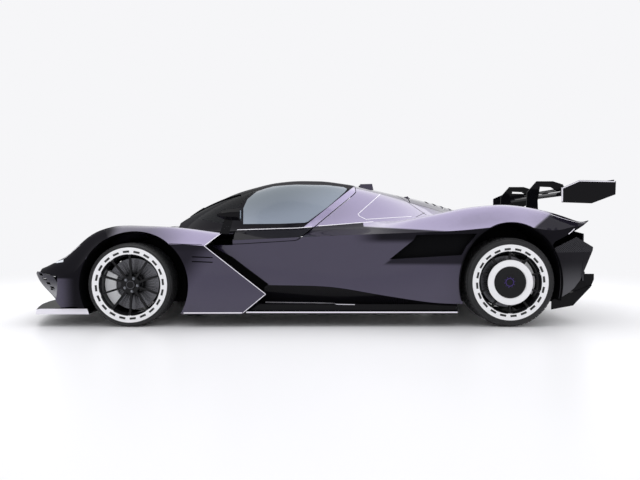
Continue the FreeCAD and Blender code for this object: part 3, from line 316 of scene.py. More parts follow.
def satin(name, dark, light, rough, metal=0.0, grain=700.0, depth=0.0002, coat=0.0, ior=1.45):
    """A matt or satin surface with a fine grain and a slow drift of its tone."""
    g = Graph(name)
    drift = g.noise(5.0, 4.0)
    fine = g.noise(grain, 3.0)
    return g.finish(Base_Color=(drift * 0.7 + fine * 0.3).blend(dark, light), Metallic=metal,
                    Roughness=fine * 0.15 + (rough - 0.07), Coat_Weight=coat, Coat_Roughness=0.1,
                    IOR=ior, Normal=g.bump(fine, 0.25, depth))


def dark_glass():
    """The tinted windscreen, all but opaque."""
    g = Graph("dark_glass")
    z = g.place()[2]
    return g.finish(Base_Color=z.ramp(0.8, 1.08).blend(tone(16, 18, 22), tone(6, 7, 9)),
                    Roughness=g.noise(3.0) * 0.02 + 0.03, Specular_IOR_Level=0.0,
                    Coat_Weight=0.16, Coat_Roughness=0.02, Alpha=z.ramp(0.7, 1.1).mix(0.9, 0.96))


def pale_glass():
    """A side window with a painted reflection of a pale sky, darker towards its top."""
    g = Graph("pale_glass")
    x, _, z = g.place()
    # Painted reflection: darker towards the top and towards the front.
    shade = (z - x * 0.25).ramp(0.84, 1.14)
    return g.finish(Base_Color=shade.blend(tone(126, 136, 151), tone(84, 94, 103)), Metallic=0.2,
                    Roughness=g.noise(2.0) * 0.05 + 0.3, Coat_Weight=0.3, Coat_Roughness=0.02)


def lamp_glass(name, dark, light, glow):
    """A ribbed lens that glows a little."""
    g = Graph(name)
    y = g.place()[1]
    ribs = (y * 180.0).fract() > 0.5
    shade = ribs.blend(dark, light)
    return g.finish(Base_Color=shade, Roughness=ribs * 0.1 + 0.12, Coat_Weight=1.0,
                    Emission_Color=shade, Emission_Strength=glow, Normal=g.bump(ribs, 0.3, 0.0004))


def turned_metal(name, dark, light, x_hub, z_hub):
    """Metal with the fine rings that turning leaves round a hub."""
    g = Graph(name)
    x, _, z = g.place()
    radius = ((x - x_hub) * (x - x_hub) + (z - z_hub) * (z - z_hub)).math("SQRT")
    rings = g.noise(1.0, 5.0, 0.7, g.node("ShaderNodeCombineXYZ", None, {0: radius * 900.0}))
    return g.finish(Base_Color=rings.blend(dark, light), Metallic=0.9, Roughness=rings * 0.25 + 0.25,
                    Normal=g.bump(rings, 0.25, 0.0003))


def tyre_rubber():
    """Matt rubber, scuffed here and there."""
    g = Graph("tyre_rubber")
    fine = g.noise(320.0, 3.0)
    scuff = g.noise(14.0, 5.0, 0.65)
    return g.finish(Base_Color=(scuff * 0.6 + fine * 0.4).blend(tone(24, 24, 26), tone(46, 46, 48)),
                    Roughness=fine * 0.2 + 0.52, Normal=g.bump(fine, 0.35, 0.0005))


PAINT = body_paint("body_paint")
WHITE = satin("ring_white", tone(234, 234, 236), tone(243, 243, 245), 0.32, grain=500.0, depth=0.0001,
              coat=0.5)
BLACK = satin("wheel_black", tone(12, 12, 14), tone(21, 21, 24), 0.32, grain=900.0, depth=0.0001, coat=0.16,
              ior=1.2)
FINISHES = {
    "paint": PAINT,
    "carbon": carbon(),
    "structure": satin("structure_black", tone(10, 10, 12), tone(17, 17, 19), 0.55, ior=1.1),
    "screen": dark_glass(),
    "window": pale_glass(),
    "tyre": tyre_rubber(),
    "wheel": BLACK,
    "disc": satin("brake_disc", tone(96, 96, 98), tone(140, 140, 142), 0.4, metal=0.85, grain=420.0),
    "caliper": satin("caliper_silver", tone(238, 239, 242), tone(249, 250, 251), 0.32),
    "metal": satin("bare_metal", tone(120, 122, 126), tone(160, 162, 166), 0.38, metal=0.9),
    "engine": satin("engine_cast", tone(70, 70, 74), tone(100, 100, 104), 0.55, metal=0.7),
    "lamp": lamp_glass("headlamp_glass", tone(170, 176, 186), tone(226, 230, 236), 0.15),
    "tail_lamp": lamp_glass("tail_lamp_glass", tone(90, 8, 10), tone(150, 16, 18), 0.4),
    "trim": satin("seat_shell", tone(34, 34, 38), tone(54, 54, 59), 0.5),
    "exhaust": satin("burnt_steel", tone(96, 88, 84), tone(140, 132, 126), 0.34, metal=1.0),
}


def tub_finish():
    """Near black outside, lined with a grey cloth where the cabin is."""
    g = Graph("tub_lining")
    x, y, z = g.place()
    weave = g.noise(600.0, 3.0)
    inside = (x + 0.98).ramp(0.0, 0.02) * (z - 0.16).ramp(0.0, 0.02) * (0.7 - y.size()).ramp(0.0, 0.02)
    cloth = weave.blend(tone(52, 51, 56), tone(84, 82, 90))
    return g.finish(Base_Color=inside.blend(weave.blend(tone(10, 10, 12), tone(17, 17, 19)), cloth),
                    Roughness=inside * 0.25 + 0.55, IOR=1.2, Normal=g.bump(weave, 0.3, 0.0003))


for node in NODES.values():
    for place in node.material_slots:
        slot = place.material.name.split(".")[0]
        if slot in FINISHES:
            place.material = FINISHES[slot]
NODES["tub"].material_slots[0].material = tub_finish()


# Pieces.
def linked(name, data):
    """A new object in the scene: a piece, the floor, a lamp, the camera or what a geometry tree needs."""
    made = bpy.data.objects.new(name, data)
    bpy.context.scene.collection.objects.link(made)
    return made


def piece(name, mesh, body, finishes=None, nodes=()):
    """A finished mesh as a piece that rides on a body."""
    made = linked(name, mesh)
    if finishes:
        # Clearing the finishes would lose which face has which.
        zones = [face.material_index for face in mesh.polygons]
        mesh.materials.clear()
        for finish in finishes:
            mesh.materials.append(finish)
        mesh.polygons.foreach_set("material_index", zones)
    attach(made, body)
    if nodes:
        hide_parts(*nodes)
    return made


SIDE_VIEW_ZERO = 12.5


def at(x, y, z):
    """Metres of the frame from the millimetres of the side view, which has its own zero."""
    return Vector(((x + SIDE_VIEW_ZERO) / 1000, y / 1000, z / 1000))


def joined(meshes):
    """One mesh of several, each with its finish kept."""
    whole = bmesh.new()
    finishes = []
    for mesh in meshes:
        start = len(whole.faces)
        whole.from_mesh(mesh)
        whole.faces.ensure_lookup_table()
        for face in whole.faces[start:]:
            finish = mesh.materials[face.material_index] if len(mesh.materials) else None
            if finish not in finishes:
                finishes.append(finish)
            face.material_index = finishes.index(finish)
    result = bpy.data.meshes.new("joined")
    whole.to_mesh(result)
    whole.free()
    for finish in finishes:
        result.materials.append(finish)
    return result


def faced(bm):
    """The mesh of a bmesh whose faces all point outwards."""
    bmesh.ops.recalc_face_normals(bm, faces=bm.faces)
    mesh = bpy.data.meshes.new("part")
    bm.to_mesh(mesh)
    bm.free()
    return mesh


def mirrored(mesh):
    """The same mesh on the other side of the car."""
    bm = bmesh.new()
    bm.from_mesh(mesh)
    bmesh.ops.scale(bm, vec=(1, -1, 1), verts=bm.verts)
    bmesh.ops.reverse_faces(bm, faces=bm.faces)
    other = mesh.copy()
    bm.to_mesh(other)
    bm.free()
    return other


FIT_REACH = 0.055  # How far from a vertex the bent plane is fitted.
CREASE = 0.87  # Faces whose normals' dot product is smaller are parted by a crease.
THIN_CELL = 0.009  # The cell in which one vertex stands for all.
FEWEST = 7  # A fit needs more neighbours than this.
ALIKE = 0.8  # A fit leaves out neighbours whose normals' dot product with its own is no larger.
FALL_OFF = 3.0  # How quickly a neighbour's weight falls with its distance.
DAMPING = 2e-3  # Holds the bend near zero where the neighbours say little.
NEAREST = 0.9  # A fitted normal is dropped where its dot product with the plain one is smaller.


def fitted_normals(mesh):
    """Normals of the curved surface that the vertices lie on, from a bent plane fitted round each of them."""
    faces = mesh.polygons
    around = [[] for _ in mesh.vertices]
    for face in faces:
        for loop in face.loop_indices:
            around[mesh.loops[loop].vertex_index].append((face.area, face.index, loop))
    groups = []
    for vertex, corners in zip(mesh.vertices, around):
        own = []
        for area, face, loop in sorted(corners, reverse=True):
            normal = faces[face].normal
            for group in own:
                if group[0].normalized().dot(normal) > CREASE:
                    group[0] += normal * area
                    group[1].append(loop)
                    break
            else:
                own.append([normal * max(area, 1e-12), [loop]])
        groups += [(vertex.co, total.normalized(), loops) for total, loops in own]
    thin = {}
    for place, normal, loops in groups:
        key = tuple(round(c / THIN_CELL) for c in place) + tuple(round(c * 1.4) for c in normal)
        thin.setdefault(key, (place, normal))
    chosen = list(thin.values())
    tree = KDTree(len(chosen))
    for i, (place, normal) in enumerate(chosen):
        tree.insert(place, i)
    tree.balance()
    spots = np.array([tuple(c[0]) for c in chosen])
    ways = np.array([tuple(c[1]) for c in chosen])
    result = [Vector((0, 0, 1))] * len(mesh.loops)
    for place, normal, loops in groups:
        near = [i for _, i, _ in tree.find_range(place, FIT_REACH)]
        fitted = normal
        if len(near) > FEWEST:
            n = np.array(normal)
            near = np.array(near)
            near = near[ways[near] @ n > ALIKE]
            if len(near) > FEWEST:
                t = np.cross(n, [1, 0, 0] if abs(n[0]) < 0.8 else [0, 1, 0])
                t /= np.linalg.norm(t)
                s = np.cross(n, t)
                d = (spots[near] - np.array(place)) / FIT_REACH
                u, v, w = d @ t, d @ s, d @ n
                weight = np.exp(-FALL_OFF * (u * u + v * v))[:, None]
                a = np.stack([u, v, u * u, u * v, v * v], 1)
                lhs = a.T @ (a * weight) + np.eye(5) * DAMPING
                bend = np.linalg.solve(lhs, a.T @ (w * weight[:, 0]))
                fitted = Vector(n - t * bend[0] - s * bend[1]).normalized()
                if fitted.dot(normal) < NEAREST:
                    fitted = normal
        for loop in loops:
            result[loop] = fitted
    mesh.normals_split_custom_set(result)


def panel(node, slot, choose=None, finishes=None):
    """A CAD panel with fitted normals and, where choose is given, a finish for each face."""
    bm = bmesh.new()
    bm.from_mesh(NODES[node].data)
    bmesh.ops.remove_doubles(bm, verts=bm.verts, dist=1e-5)
    bmesh.ops.dissolve_degenerate(bm, edges=bm.edges, dist=1e-6)
    mesh = bpy.data.meshes.new(node)
    bm.to_mesh(mesh)
    bm.free()
    mesh.shade_smooth()
    fitted_normals(mesh)
    if choose:
        for face in mesh.polygons:
            face.material_index = choose(face.center, face.normal)
    return piece(node + "_skin", mesh, NODES[node]["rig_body"], finishes or [FINISHES[slot]], [node])


def kept(node, choose, finishes):
    """A CAD node whose own normals are right, with a finish for each face."""
    mesh = NODES[node].data.copy()
    for face in mesh.polygons:
        face.material_index = choose(face.center, face.normal)
    return piece(node + "_skin", mesh, NODES[node]["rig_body"], finishes, [node])


def band(bm, near, far):
    """A band of faces between two closed outlines."""
    count = len(near)
    for i in range(count):
        j = (i + 1) % count
        bm.faces.new((near[i], near[j], far[j], far[i]))


def lofted(bm, rows):
    """Bands from row to row of vertices, closed at both ends."""
    for near, far in zip(rows, rows[1:]):
        band(bm, near, far)
    bm.faces.new(rows[0])
    bm.faces.new(rows[-1])


def turned(profile, steps, finish=None):
    """A mesh turned about the Y axis from a closed profile of (along, radius) millimetres."""
    bm = bmesh.new()
    rings = []
    for i in range(steps):
        angle = 2 * math.pi * i / steps
        rings.append([bm.verts.new((r / 1000 * math.sin(angle), a / 1000, r / 1000 * math.cos(angle)))
                      for a, r in profile])
    for i in range(steps):
        band(bm, rings[i], rings[(i + 1) % steps])
    mesh = faced(bm)
    mesh.shade_smooth()
    mesh.set_sharp_from_angle(angle=math.radians(35))
    if finish:
        mesh.materials.append(finish)
    return mesh


def block(x, y, z, slope=0.0):
    """A small block: half sizes across, round and proud, in millimetres, its top sloping across."""
    bm = bmesh.new()
    corners = [(sx * x, sy * y, sz * z + (sx * slope if sz > 0 else 0)) for sz in (-1, 1) for sx, sy in
               ((-1, -1), (1, -1), (1, 1), (-1, 1))]
    verts = [bm.verts.new([c / 1000 for c in corner]) for corner in corners]
    for face in ((0, 1, 2, 3), (4, 5, 6, 7), (0, 1, 5, 4), (1, 2, 6, 5), (2, 3, 7, 6), (3, 0, 4, 7)):
        bm.faces.new([verts[i] for i in face])
    bmesh.ops.bevel(bm, geom=list(bm.edges), offset=min(x, y, z) / 4000, segments=1, affect="EDGES")
    return faced(bm)


def round_about(name, mesh, count, radius, proud, finish, start=0.0):
    """Copies of a mesh on a circle about the Y axis, their tops facing -Y."""
    g = Graph(name, True)
    base = linked(name + "_unit", mesh)
    total = g.ask("Count", "Int", count)
    index = g.node("GeometryNodeInputIndex")
    turn = index * (2 * math.pi) / total + g.ask("Start", "Float", math.radians(start))
    reach = g.ask("Radius", "Float", radius / 1000)
    spot = g.node("ShaderNodeCombineXYZ", None, {0: reach * turn.math("COSINE"), 1: reach * turn.math("SINE"),
                                                 2: g.ask("Proud", "Float", proud / 1000)})
    points = g.node("GeometryNodePoints", None, {"Count": total, "Position": spot})
    source = g.node("GeometryNodeObjectInfo", None, {"Object": g.ask("Unit", "Object", base)}, "Geometry")
    turned_by = g.node("ShaderNodeCombineXYZ", None, {2: turn})
    values = {"Points": points, "Instance": source, "Rotation": turned_by}
    copies = g.node("GeometryNodeInstanceOnPoints", None, values)
    upright = g.node("GeometryNodeTransform", None, {"Geometry": copies, "Rotation": (math.pi / 2, 0, 0)})
    made = g.solid(upright, finish)
    bpy.data.objects.remove(base)
    return made


def honeycomb(name, columns, rows, cell, half, lean, finish):
    """A net of six-sided cells in the YZ plane, kept where |y| + lean * z stays under half (metres)."""
    bm = bmesh.new()
    loops = []
    for depth in (-0.004, 0.004):
        for radius in (cell * 0.5, cell * 0.577):
            loops.append([bm.verts.new((depth, radius * math.cos(math.pi / 3 * i + math.pi / 6),
                                        radius * math.sin(math.pi / 3 * i + math.pi / 6))) for i in range(6)])
    for a, b in ((0, 1), (2, 3), (0, 2), (1, 3)):
        band(bm, loops[a], loops[b])
    base = linked(name + "_unit", faced(bm))
    g = Graph(name, True)
    wide = g.ask("Columns", "Int", columns)
    pitch = g.ask("Cell", "Float", cell)
    index = g.node("GeometryNodeInputIndex")
    row = (index / wide).floor()
    column = index - row * wide
    across = (column + row.wrap(2.0) * 0.5 - wide * 0.5) * pitch
    height = (row - (rows - 1) / 2) * pitch * 0.866
    spot = g.node("ShaderNodeCombineXYZ", None, {1: across, 2: height})
    points = g.node("GeometryNodePoints", None, {"Count": wide * float(rows), "Position": spot})
    outside = (across.size() + height * lean) > g.ask("Half", "Float", half)
    values = {"Geometry": points, "Selection": outside}
    inside = g.node("GeometryNodeDeleteGeometry", {"domain": "POINT"}, values)
    source = g.node("GeometryNodeObjectInfo", None, {"Object": g.ask("Unit", "Object", base)}, "Geometry")
    copies = g.node("GeometryNodeInstanceOnPoints", None, {"Points": inside, "Instance": source})
    made = g.solid(copies, finish)
    bpy.data.objects.remove(base)
    return made


def moved(mesh, place, half_turn=False):
    """A mesh set in place, turned half round for the right-hand side."""
    turn = Matrix.Rotation(math.pi, 4, "Z") if half_turn else Matrix.Identity(4)
    mesh.transform(Matrix.Translation(place) @ turn)
    return mesh


def surface_of(*nodes):
    """A tree of the faces of some CAD nodes, to cast rays at."""
    places = []
    faces = []
    for node in nodes:
        mesh = NODES[node].data
        start = len(places)
        places += [v.co.copy() for v in mesh.vertices]
        faces += [[start + i for i in face.vertices] for face in mesh.polygons]
    return BVHTree.FromPolygons(places, faces)


RAY_START = 2000  # Further up and out than any panel.
STRIP_STEP = 14


def strip(nodes, path, width, above=False, proud=0.7, sink=2.0):
    """A thin strip laid on the panels along a path of (x, z) of the side view, or (x, y) seen from above."""
    tree = surface_of(*nodes)
    spots = []
    for (xa, ba), (xb, bb) in zip(path, path[1:]):
        steps = max(1, round(math.hypot(xb - xa, bb - ba) / STRIP_STEP))
        spots += [(xa + (xb - xa) * i / steps, ba + (bb - ba) * i / steps) for i in range(steps)]
    spots.append(path[-1])
    hits = []
    for x, b in spots:
        start = at(x, b, RAY_START) if above else at(x, -RAY_START, b)
        place, normal, _, _ = tree.ray_cast(start, Vector((0, 0, -1)) if above else Vector((0, 1, 0)))
        if place is not None:
            hits.append((place, normal))
    bm = bmesh.new()
    rows = []
    for i, (place, normal) in enumerate(hits):
        ahead = hits[min(i + 1, len(hits) - 1)][0] - hits[max(i - 1, 0)][0]
        side = normal.cross(ahead).normalized() * (width / 2000)
        top = place + normal * (proud / 1000)
        low = place - normal * (sink / 1000)
        rows.append([bm.verts.new(p) for p in (top - side, top + side, low + side, low - side)])
    lofted(bm, rows)
    return faced(bm)


def both(mesh, finish):
    """A mesh and its mirror image as one, with a finish."""
    mesh.materials.clear()
    mesh.materials.append(finish)
    return joined([mesh, mirrored(mesh)])


# Wheels: tyres with their tread, and what is fixed to the rims, in millimetres.
# Each hub as x, distance from the car's middle plane, and z.
HUBS = {"front": (-1379.5, 870.5, 316.0), "rear": (1475.5, 845.5, 335.0)}
# Radius and width of the tyre, its inner radius, and the outer and inner radii of the white ring.
TYRES = {"front": (316.0, 255.0, 248.0, 282.0, 232.0), "rear": (335.0, 305.0, 251.0, 285.0, 236.0)}
DISC_FACE = 889.7
TYRE_STEPS = 120
TREAD_ROWS = 5
TREAD_BLOCKS = 64
WALL_RIB = 2.6
DASHES = 20
DASH_CIRCLE = 251
BOLTS = 5
BOLT_CIRCLE = 50.5
CAP_BOLTS = 10
CAP_CIRCLE = 39
DISC_HOLES = 40
DISC_HOLE_CIRCLES = (150, 164, 178)
AERO_RING = (121, 172)
BRAKE_RING = (128, 197)
RING_EDGE = 3  # The white ring's face ends this far within its outer radius.
RING_RISE = 5.0  # It leans outwards by this much over its width.
DASH_LEVEL = 247  # The radius at which its height is taken for the dashes.
RIM_FACE = 0.9905  # In metres: what lies further out on a rim is its lit face.


def tyre_mesh(end):
    """Ribbed walls and a carcass with rows of tread blocks on it."""
    radius, width, rim, ring, _ = TYRES[end]
    half = width / 2
    wall = [(-half + 16, rim), (-half + 6, rim + 6), (-half + 6, ring + 1), (-half + 2, ring + 4)]
    height = ring + 6
    while height < radius - 18:
        wall += [(-half + 0.9, height), (-half + 1.9, height + 1.2)]
        height += WALL_RIB
    base = radius - 6.5
    wall += [(-half + 5, radius - 15), (-half + 14, radius - 9), (-half + 30, base), (half - 30, base),
             (half - 14, radius - 9), (half - 5, radius - 20), (half, rim + 34), (half - 4, rim + 12),
             (half - 16, rim)]
    rubber = FINISHES["tyre"]
    meshes = [turned(wall, TYRE_STEPS, rubber)]
    pitch = 2 * (half - 38) / TREAD_ROWS
    half_arc = math.pi * radius / TREAD_BLOCKS
    for row in range(TREAD_ROWS):
        tread = block(3.6, half_arc - 2.6, pitch / 2 - 2.8)
        across = pitch * (row - 2)
        start = row % 2 * 2.8
        meshes.append(round_about("tread_row", tread, TREAD_BLOCKS, radius - 4.1, across, rubber, start))
    for side in (-1, 1):
        shoulder = block(3.4, half_arc - 3.0, 10.0)
        across = side * (half - 26)
        meshes.append(round_about("tread_edge", shoulder, TREAD_BLOCKS, radius - 6.6, across, rubber))
    return joined(meshes)


def bolt_mesh():
    """A wheel bolt with its collar."""
    bm = bmesh.new()
    levels = [(0, 11, 12), (4, 11, 12), (5, 8.2, 6), (13, 8.2, 6), (14.5, 6.6, 6)]
    rings = []
    for height, radius, sides in levels:
        z, r = height / 1000, radius / 1000
        turns = [math.tau * i / sides for i in range(sides)]
        rings.append([bm.verts.new((r * math.cos(turn), r * math.sin(turn), z)) for turn in turns])
    for a, b in ((0, 1), (2, 3), (3, 4)):
        band(bm, rings[a], rings[b])
    for ring in (rings[0], rings[1], rings[2], rings[4]):
        bm.faces.new(ring)
    return faced(bm)


def wheel_trim(end):
    """Dashes on the white ring, bolts, the ring of the cap and the holes of the brake disc."""
    _, width, _, ring, inner = TYRES[end]
    half = width / 2
    slope = RING_RISE / (ring - RING_EDGE - inner)
    rise = half + 2 - (ring - RING_EDGE - DASH_LEVEL) * slope
    dash = block(7.6, 23, 1.4, 7.6 * slope)
    meshes = [round_about("ring_dashes", dash, DASHES, DASH_CIRCLE, rise + 0.9, DASH, 5.4)]
    if end == "front":
        cap, cap_finish = half - 24, CAP
        meshes.append(round_about("wheel_bolts", bolt_mesh(), BOLTS, BOLT_CIRCLE, half - 34.5, STEEL, 64))
    else:
        cap, cap_finish = half - 22, PURPLE
        bolt = block(2.6, 2.6, 1.6)
        meshes.append(round_about("cap_bolts", bolt, CAP_BOLTS, CAP_CIRCLE, half - 22.6, PURPLE, 9))
    cap_ring = [(-cap + 0.3, 26), (-cap - 2.2, 27), (-cap - 2.2, 31), (-cap + 0.3, 32)]
    meshes.append(turned(cap_ring, 48, cap_finish))
    proud = DISC_FACE - HUBS[end][1] + 0.1
    for row, circle in enumerate(DISC_HOLE_CIRCLES):
        hole = block(2.6, 2.6, 0.4)
        meshes.append(round_about("disc_holes", hole, DISC_HOLES, circle, proud, DASH, row * 3.0))
    return joined(meshes)


CAP = satin("cap_ring", tone(64, 64, 68), tone(92, 92, 97), 0.3, metal=0.8)
DASH = satin("dash_black", tone(10, 10, 12), tone(18, 18, 20), 0.4, grain=600.0, depth=0.0001, coat=0.3)
STEEL = satin("bolt_steel", tone(104, 106, 112), tone(138, 140, 146), 0.26, metal=0.9)
PURPLE = satin("purple_anodised", tone(54, 38, 100), tone(84, 62, 140), 0.3, metal=0.8, grain=900.0,
               depth=0.0001, coat=0.3)
# A pale painted highlight for edges that catch the light, laid as strips and on edge faces.
EDGE_PAINTED_HIGHLIGHT = satin("edge_light", tone(232, 229, 240), tone(244, 242, 249), 0.3, grain=900.0, depth=0.0001, coat=0.6)
SEAM = satin("shut_line", tone(6, 6, 8), tone(11, 11, 13), 0.7, ior=1.1)

for end in ("front", "rear"):
    tyre = tyre_mesh(end)
    trim = wheel_trim(end)
    _, _, _, ring, inner = TYRES[end]
    x, y, z = (value / 1000 for value in HUBS[end])
    brake = turned_metal("brake_ring_" + end, tone(78, 78, 82), tone(126, 126, 131), x, z)

    def reach(center):
        return math.hypot(center.x - x, center.z - z) * 1000

    def rim_finish(center, normal):
        on_ring = inner - 2 < reach(center) < ring + 1
        on_disc = end == "rear" and AERO_RING[0] < reach(center) < AERO_RING[1]
        return 1 if abs(center.y) > RIM_FACE and (on_ring or on_disc) else 0

    def disc_finish(center, normal):
        return 1 if BRAKE_RING[0] < reach(center) < BRAKE_RING[1] else 0

    for side in ("left", "right"):
        wheel = "wheel_%s_%s" % (end, side)
        place = Vector((x, -y if side == "left" else y, z))
        piece("tread_%s_%s" % (end, side), moved(tyre.copy(), place, side == "right"), wheel,
              None, ["tyre_%s_%s" % (end, side)])
        piece("trim_%s_%s" % (end, side), moved(trim.copy(), place, side == "right"), wheel)
        kept("rim_%s_%s" % (end, side), rim_finish, [BLACK, WHITE])
        kept("disc_%s_%s" % (end, side), disc_finish, [BLACK, brake])


# Panels.
def upward(center, normal):
    """The faces above a crease come first, those below it second."""
    return 0 if normal.z > 0.3 else 1


# Each of these paints carries painted shade and painted highlight, placed by its shading function.
WING_FINISHES = [body_paint("wing_top_paint", wing_top_painted_shading),
                 body_paint("wing_side_paint", wing_side_painted_shading)]
FLANK_FINISHES = [body_paint("flank_top_paint", flank_top_painted_shading),
                  body_paint("flank_side_paint", flank_side_painted_shading)]
HOOD_PAINT = body_paint("hood_paint", hood_painted_shading)
DECK_PAINT = body_paint("deck_paint", deck_painted_shading)
for side in ("left", "right"):
    panel("front_fender_" + side, "paint", upward, WING_FINISHES)
    panel("flank_" + side, "paint", upward, FLANK_FINISHES)


NET_LINES = 62.0


def net_line(slant):
    """Thin lines, so many to the metre, across what slants."""
    return ((slant * NET_LINES).fract() - 0.5).size().ramp(0.38, 0.46)


def corner_finish(name, low, high, z_low, z_high):
    """Clear-coated panel with a painted reflection that lightens it at its sides towards its foot, with a net
    pressed into its top.
    """
    g = Graph(name)
    x, y, z = g.place()
    net = net_line(x + z) + net_line(x - z)
    top = (z - 0.555).ramp(0.0, 0.01)
    foot = 1.0 - (z - z_low).ramp(0.0, z_high - z_low)
    side = (y.size() - 0.72).ramp(0.0, 0.1)
    # Painted reflection: the panel takes low at the foot of its sides and high elsewhere.
    shade = (1.0 - foot * side).blend(low, high)
    return g.finish(Base_Color=(net * top * 0.5).blend(shade, tone(96, 96, 100)), Specular_IOR_Level=0.0,
                    Roughness=g.noise(500.0) * 0.1 + 0.28, Coat_Weight=0.2, Coat_Roughness=0.06,
                    Normal=g.bump(net * top, 0.4, 0.0015))


def side_first(limit):
    """The faces beyond a distance from the middle come first, the rest second."""
    return lambda center, normal: 0 if abs(center.y) > limit else 1


# The nose's pale foot and the tail corner's lighter foot at their sides are painted reflections.
NOSE_FINISH = corner_finish("nose_panel", tone(204, 204, 208), tone(70, 69, 76), 0.16, 0.36)
TAIL_FINISH = corner_finish("tail_corner", tone(84, 84, 88), tone(24, 23, 28), 0.26, 0.5)
panel("hood", "paint", None, [HOOD_PAINT])
panel("nose", "paint", None, [NOSE_FINISH])
panel("rear_deck", "paint", None, [DECK_PAINT])
panel("engine_cover", "paint", None, [PAINT])
panel("canopy_frame", "paint", None, [body_paint("canopy_paint", canopy_painted_shading)])
panel("tail_panel", "paint", side_first(0.845), [TAIL_FINISH, FINISHES["carbon"]])
panel("windscreen", "screen")
panel("side_windows", "window")
panel("mirrors", "paint", None, [FINISHES["carbon"]])


def side_edges(limit):
    """The outer edges beyond a distance from the middle come second."""
    return lambda center, normal: 1 if abs(normal.y) > 0.9 and abs(center.y) > limit else 0


def plate_edges(center, normal):
    """The upper and front edges of the endplates come second."""
    on_edge = abs(center.y) > 0.895 and abs(normal.y) < 0.5
    return 1 if on_edge and (normal.z > 0.3 or normal.x < -0.4) else 0


# The splitter's outer side edges and the endplates' upper and front edges get a painted highlight.
kept("front_splitter", side_edges(0.93), [FINISHES["carbon"], EDGE_PAINTED_HIGHLIGHT])
kept("wing", plate_edges, [FINISHES["carbon"], EDGE_PAINTED_HIGHLIGHT])

# Painted highlights along edges, and shut lines, laid on the panels as (x, z) of the side view, with their
# width.
STRIPS = [
    ("blade_top_edge", ["front_fender_left"], [(-724, 703), (-832, 609)], 6, EDGE_PAINTED_HIGHLIGHT),
    ("blade_edge", ["front_fender_left"], [(-832, 609), (-372, 248), (-541, 109)], 5, EDGE_PAINTED_HIGHLIGHT),
    ("blade_foot", ["front_fender_left"], [(-985, 108), (-548, 108)], 9, EDGE_PAINTED_HIGHLIGHT),
    ("sill_edge", ["sills"], [(-520, 110), (1070, 110)], 10, EDGE_PAINTED_HIGHLIGHT),
    ("sill_lip", ["sills"], [(-430, 168), (0, 168), (300, 162)], 4, EDGE_PAINTED_HIGHLIGHT),
    ("belt_edge", ["canopy_frame"], [(-630, 728), (-300, 738), (-156, 742), (-28, 752)], 6, EDGE_PAINTED_HIGHLIGHT),
    ("belt_rear", ["flank_left", "rear_deck"], [(20, 759), (114, 766), (337, 784), (460, 793)], 6, EDGE_PAINTED_HIGHLIGHT),
    ("pillar_crease", ["rear_deck"], [(546, 1030), (343, 856), (352, 838), (405, 812), (775, 836)], 5, EDGE_PAINTED_HIGHLIGHT),
    ("lid_line", ["rear_deck", "engine_cover"], [(700, 1026), (905, 850)], 4, SEAM),
    ("lid_line_low", ["rear_deck"], [(896, 868), (812, 832)], 4, SEAM),
    ("headlamp_edge", ["front_fender_left"], [(-1800, 614), (-1870, 556), (-1950, 492)], 5, EDGE_PAINTED_HIGHLIGHT),
    ("tail_edge", ["flank_left"], [(1800, 847), (1870, 823), (1943, 801), (2030, 783), (2105, 783)], 4, EDGE_PAINTED_HIGHLIGHT),
    ("tail_glint", ["flank_left"], [(1878, 674), (1964, 737)], 6, EDGE_PAINTED_HIGHLIGHT),
    ("plate_edge", ["wing"], [(1881, 945), (1881, 1046), (2010, 1102), (2283, 1096)], 7, EDGE_PAINTED_HIGHLIGHT),
    ("wing_line", ["front_fender_left"], [(-1108, 628), (-926, 621), (-850, 618)], 4, SEAM),
]
for name, nodes, path, width, finish in STRIPS:
    piece(name, both(strip(nodes, path, width), finish), NODES[nodes[0]]["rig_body"])


def wall(path, low, high, thick, finish):
    """An upright wall over a plan line of (x, y), and its mirror image."""
    bm = bmesh.new()
    section = ((0, low), (thick, low), (thick, high), (0, high))
    rows = [[bm.verts.new(at(x + dx, -y, z)) for dx, z in section] for x, y in path]
    lofted(bm, rows)
    return both(faced(bm), finish)


NET_CELL = 0.022
duct = wall([(-2110, 700), (-2085, 790), (-2030, 880), (-1955, 935)], 268, 372, 6, SEAM)
piece("nose_ducts", duct, "chassis")
net = honeycomb("grille_net", 42, 7, NET_CELL, 0.46, 0.6, FINISHES["structure"])
piece("grille_net", moved(net, at(-2172, 0, 222)), "chassis")
BEHIND = 3000  # Further back than any panel.


def facing(node, y, z):
    """The x at which a CAD node is met from behind, at a y and z, all in millimetres of the side view."""
    place, _, _, _ = surface_of(node).ray_cast(at(BEHIND, y, z), Vector((-1, 0, 0)))
    return place.x * 1000 - SIDE_VIEW_ZERO


# The middle of the left net and of the left exhaust pipe, as (y, z).
TAIL_NET = (-500, 530)
PIPE = (-120, 560)
PIPE_RADIUS = 41
net = honeycomb("tail_net", 24, 8, NET_CELL, 0.27, 0.0, CAP)
moved(net, at(facing("tail_panel", *TAIL_NET) + 2, *TAIL_NET))
piece("tail_nets", both(net, CAP), "chassis")
pipe_end = facing("exhaust", PIPE[0], PIPE[1] + PIPE_RADIUS)
lip = turned([(0, 36), (14, 37.5), (15.5, 40), (14, 43.5), (0, 45)], 40, FINISHES["exhaust"])
bore = turned([(0.4, 0.5), (0.4, 37), (1.4, 37), (1.4, 0.5)], 40, SEAM)
tips = joined([lip, bore])
tips.transform(Matrix.Translation(at(pipe_end, *PIPE)) @ Matrix.Rotation(-math.pi / 2, 4, "Z"))
piece("exhaust_tips", joined([tips, mirrored(tips)]), "chassis")


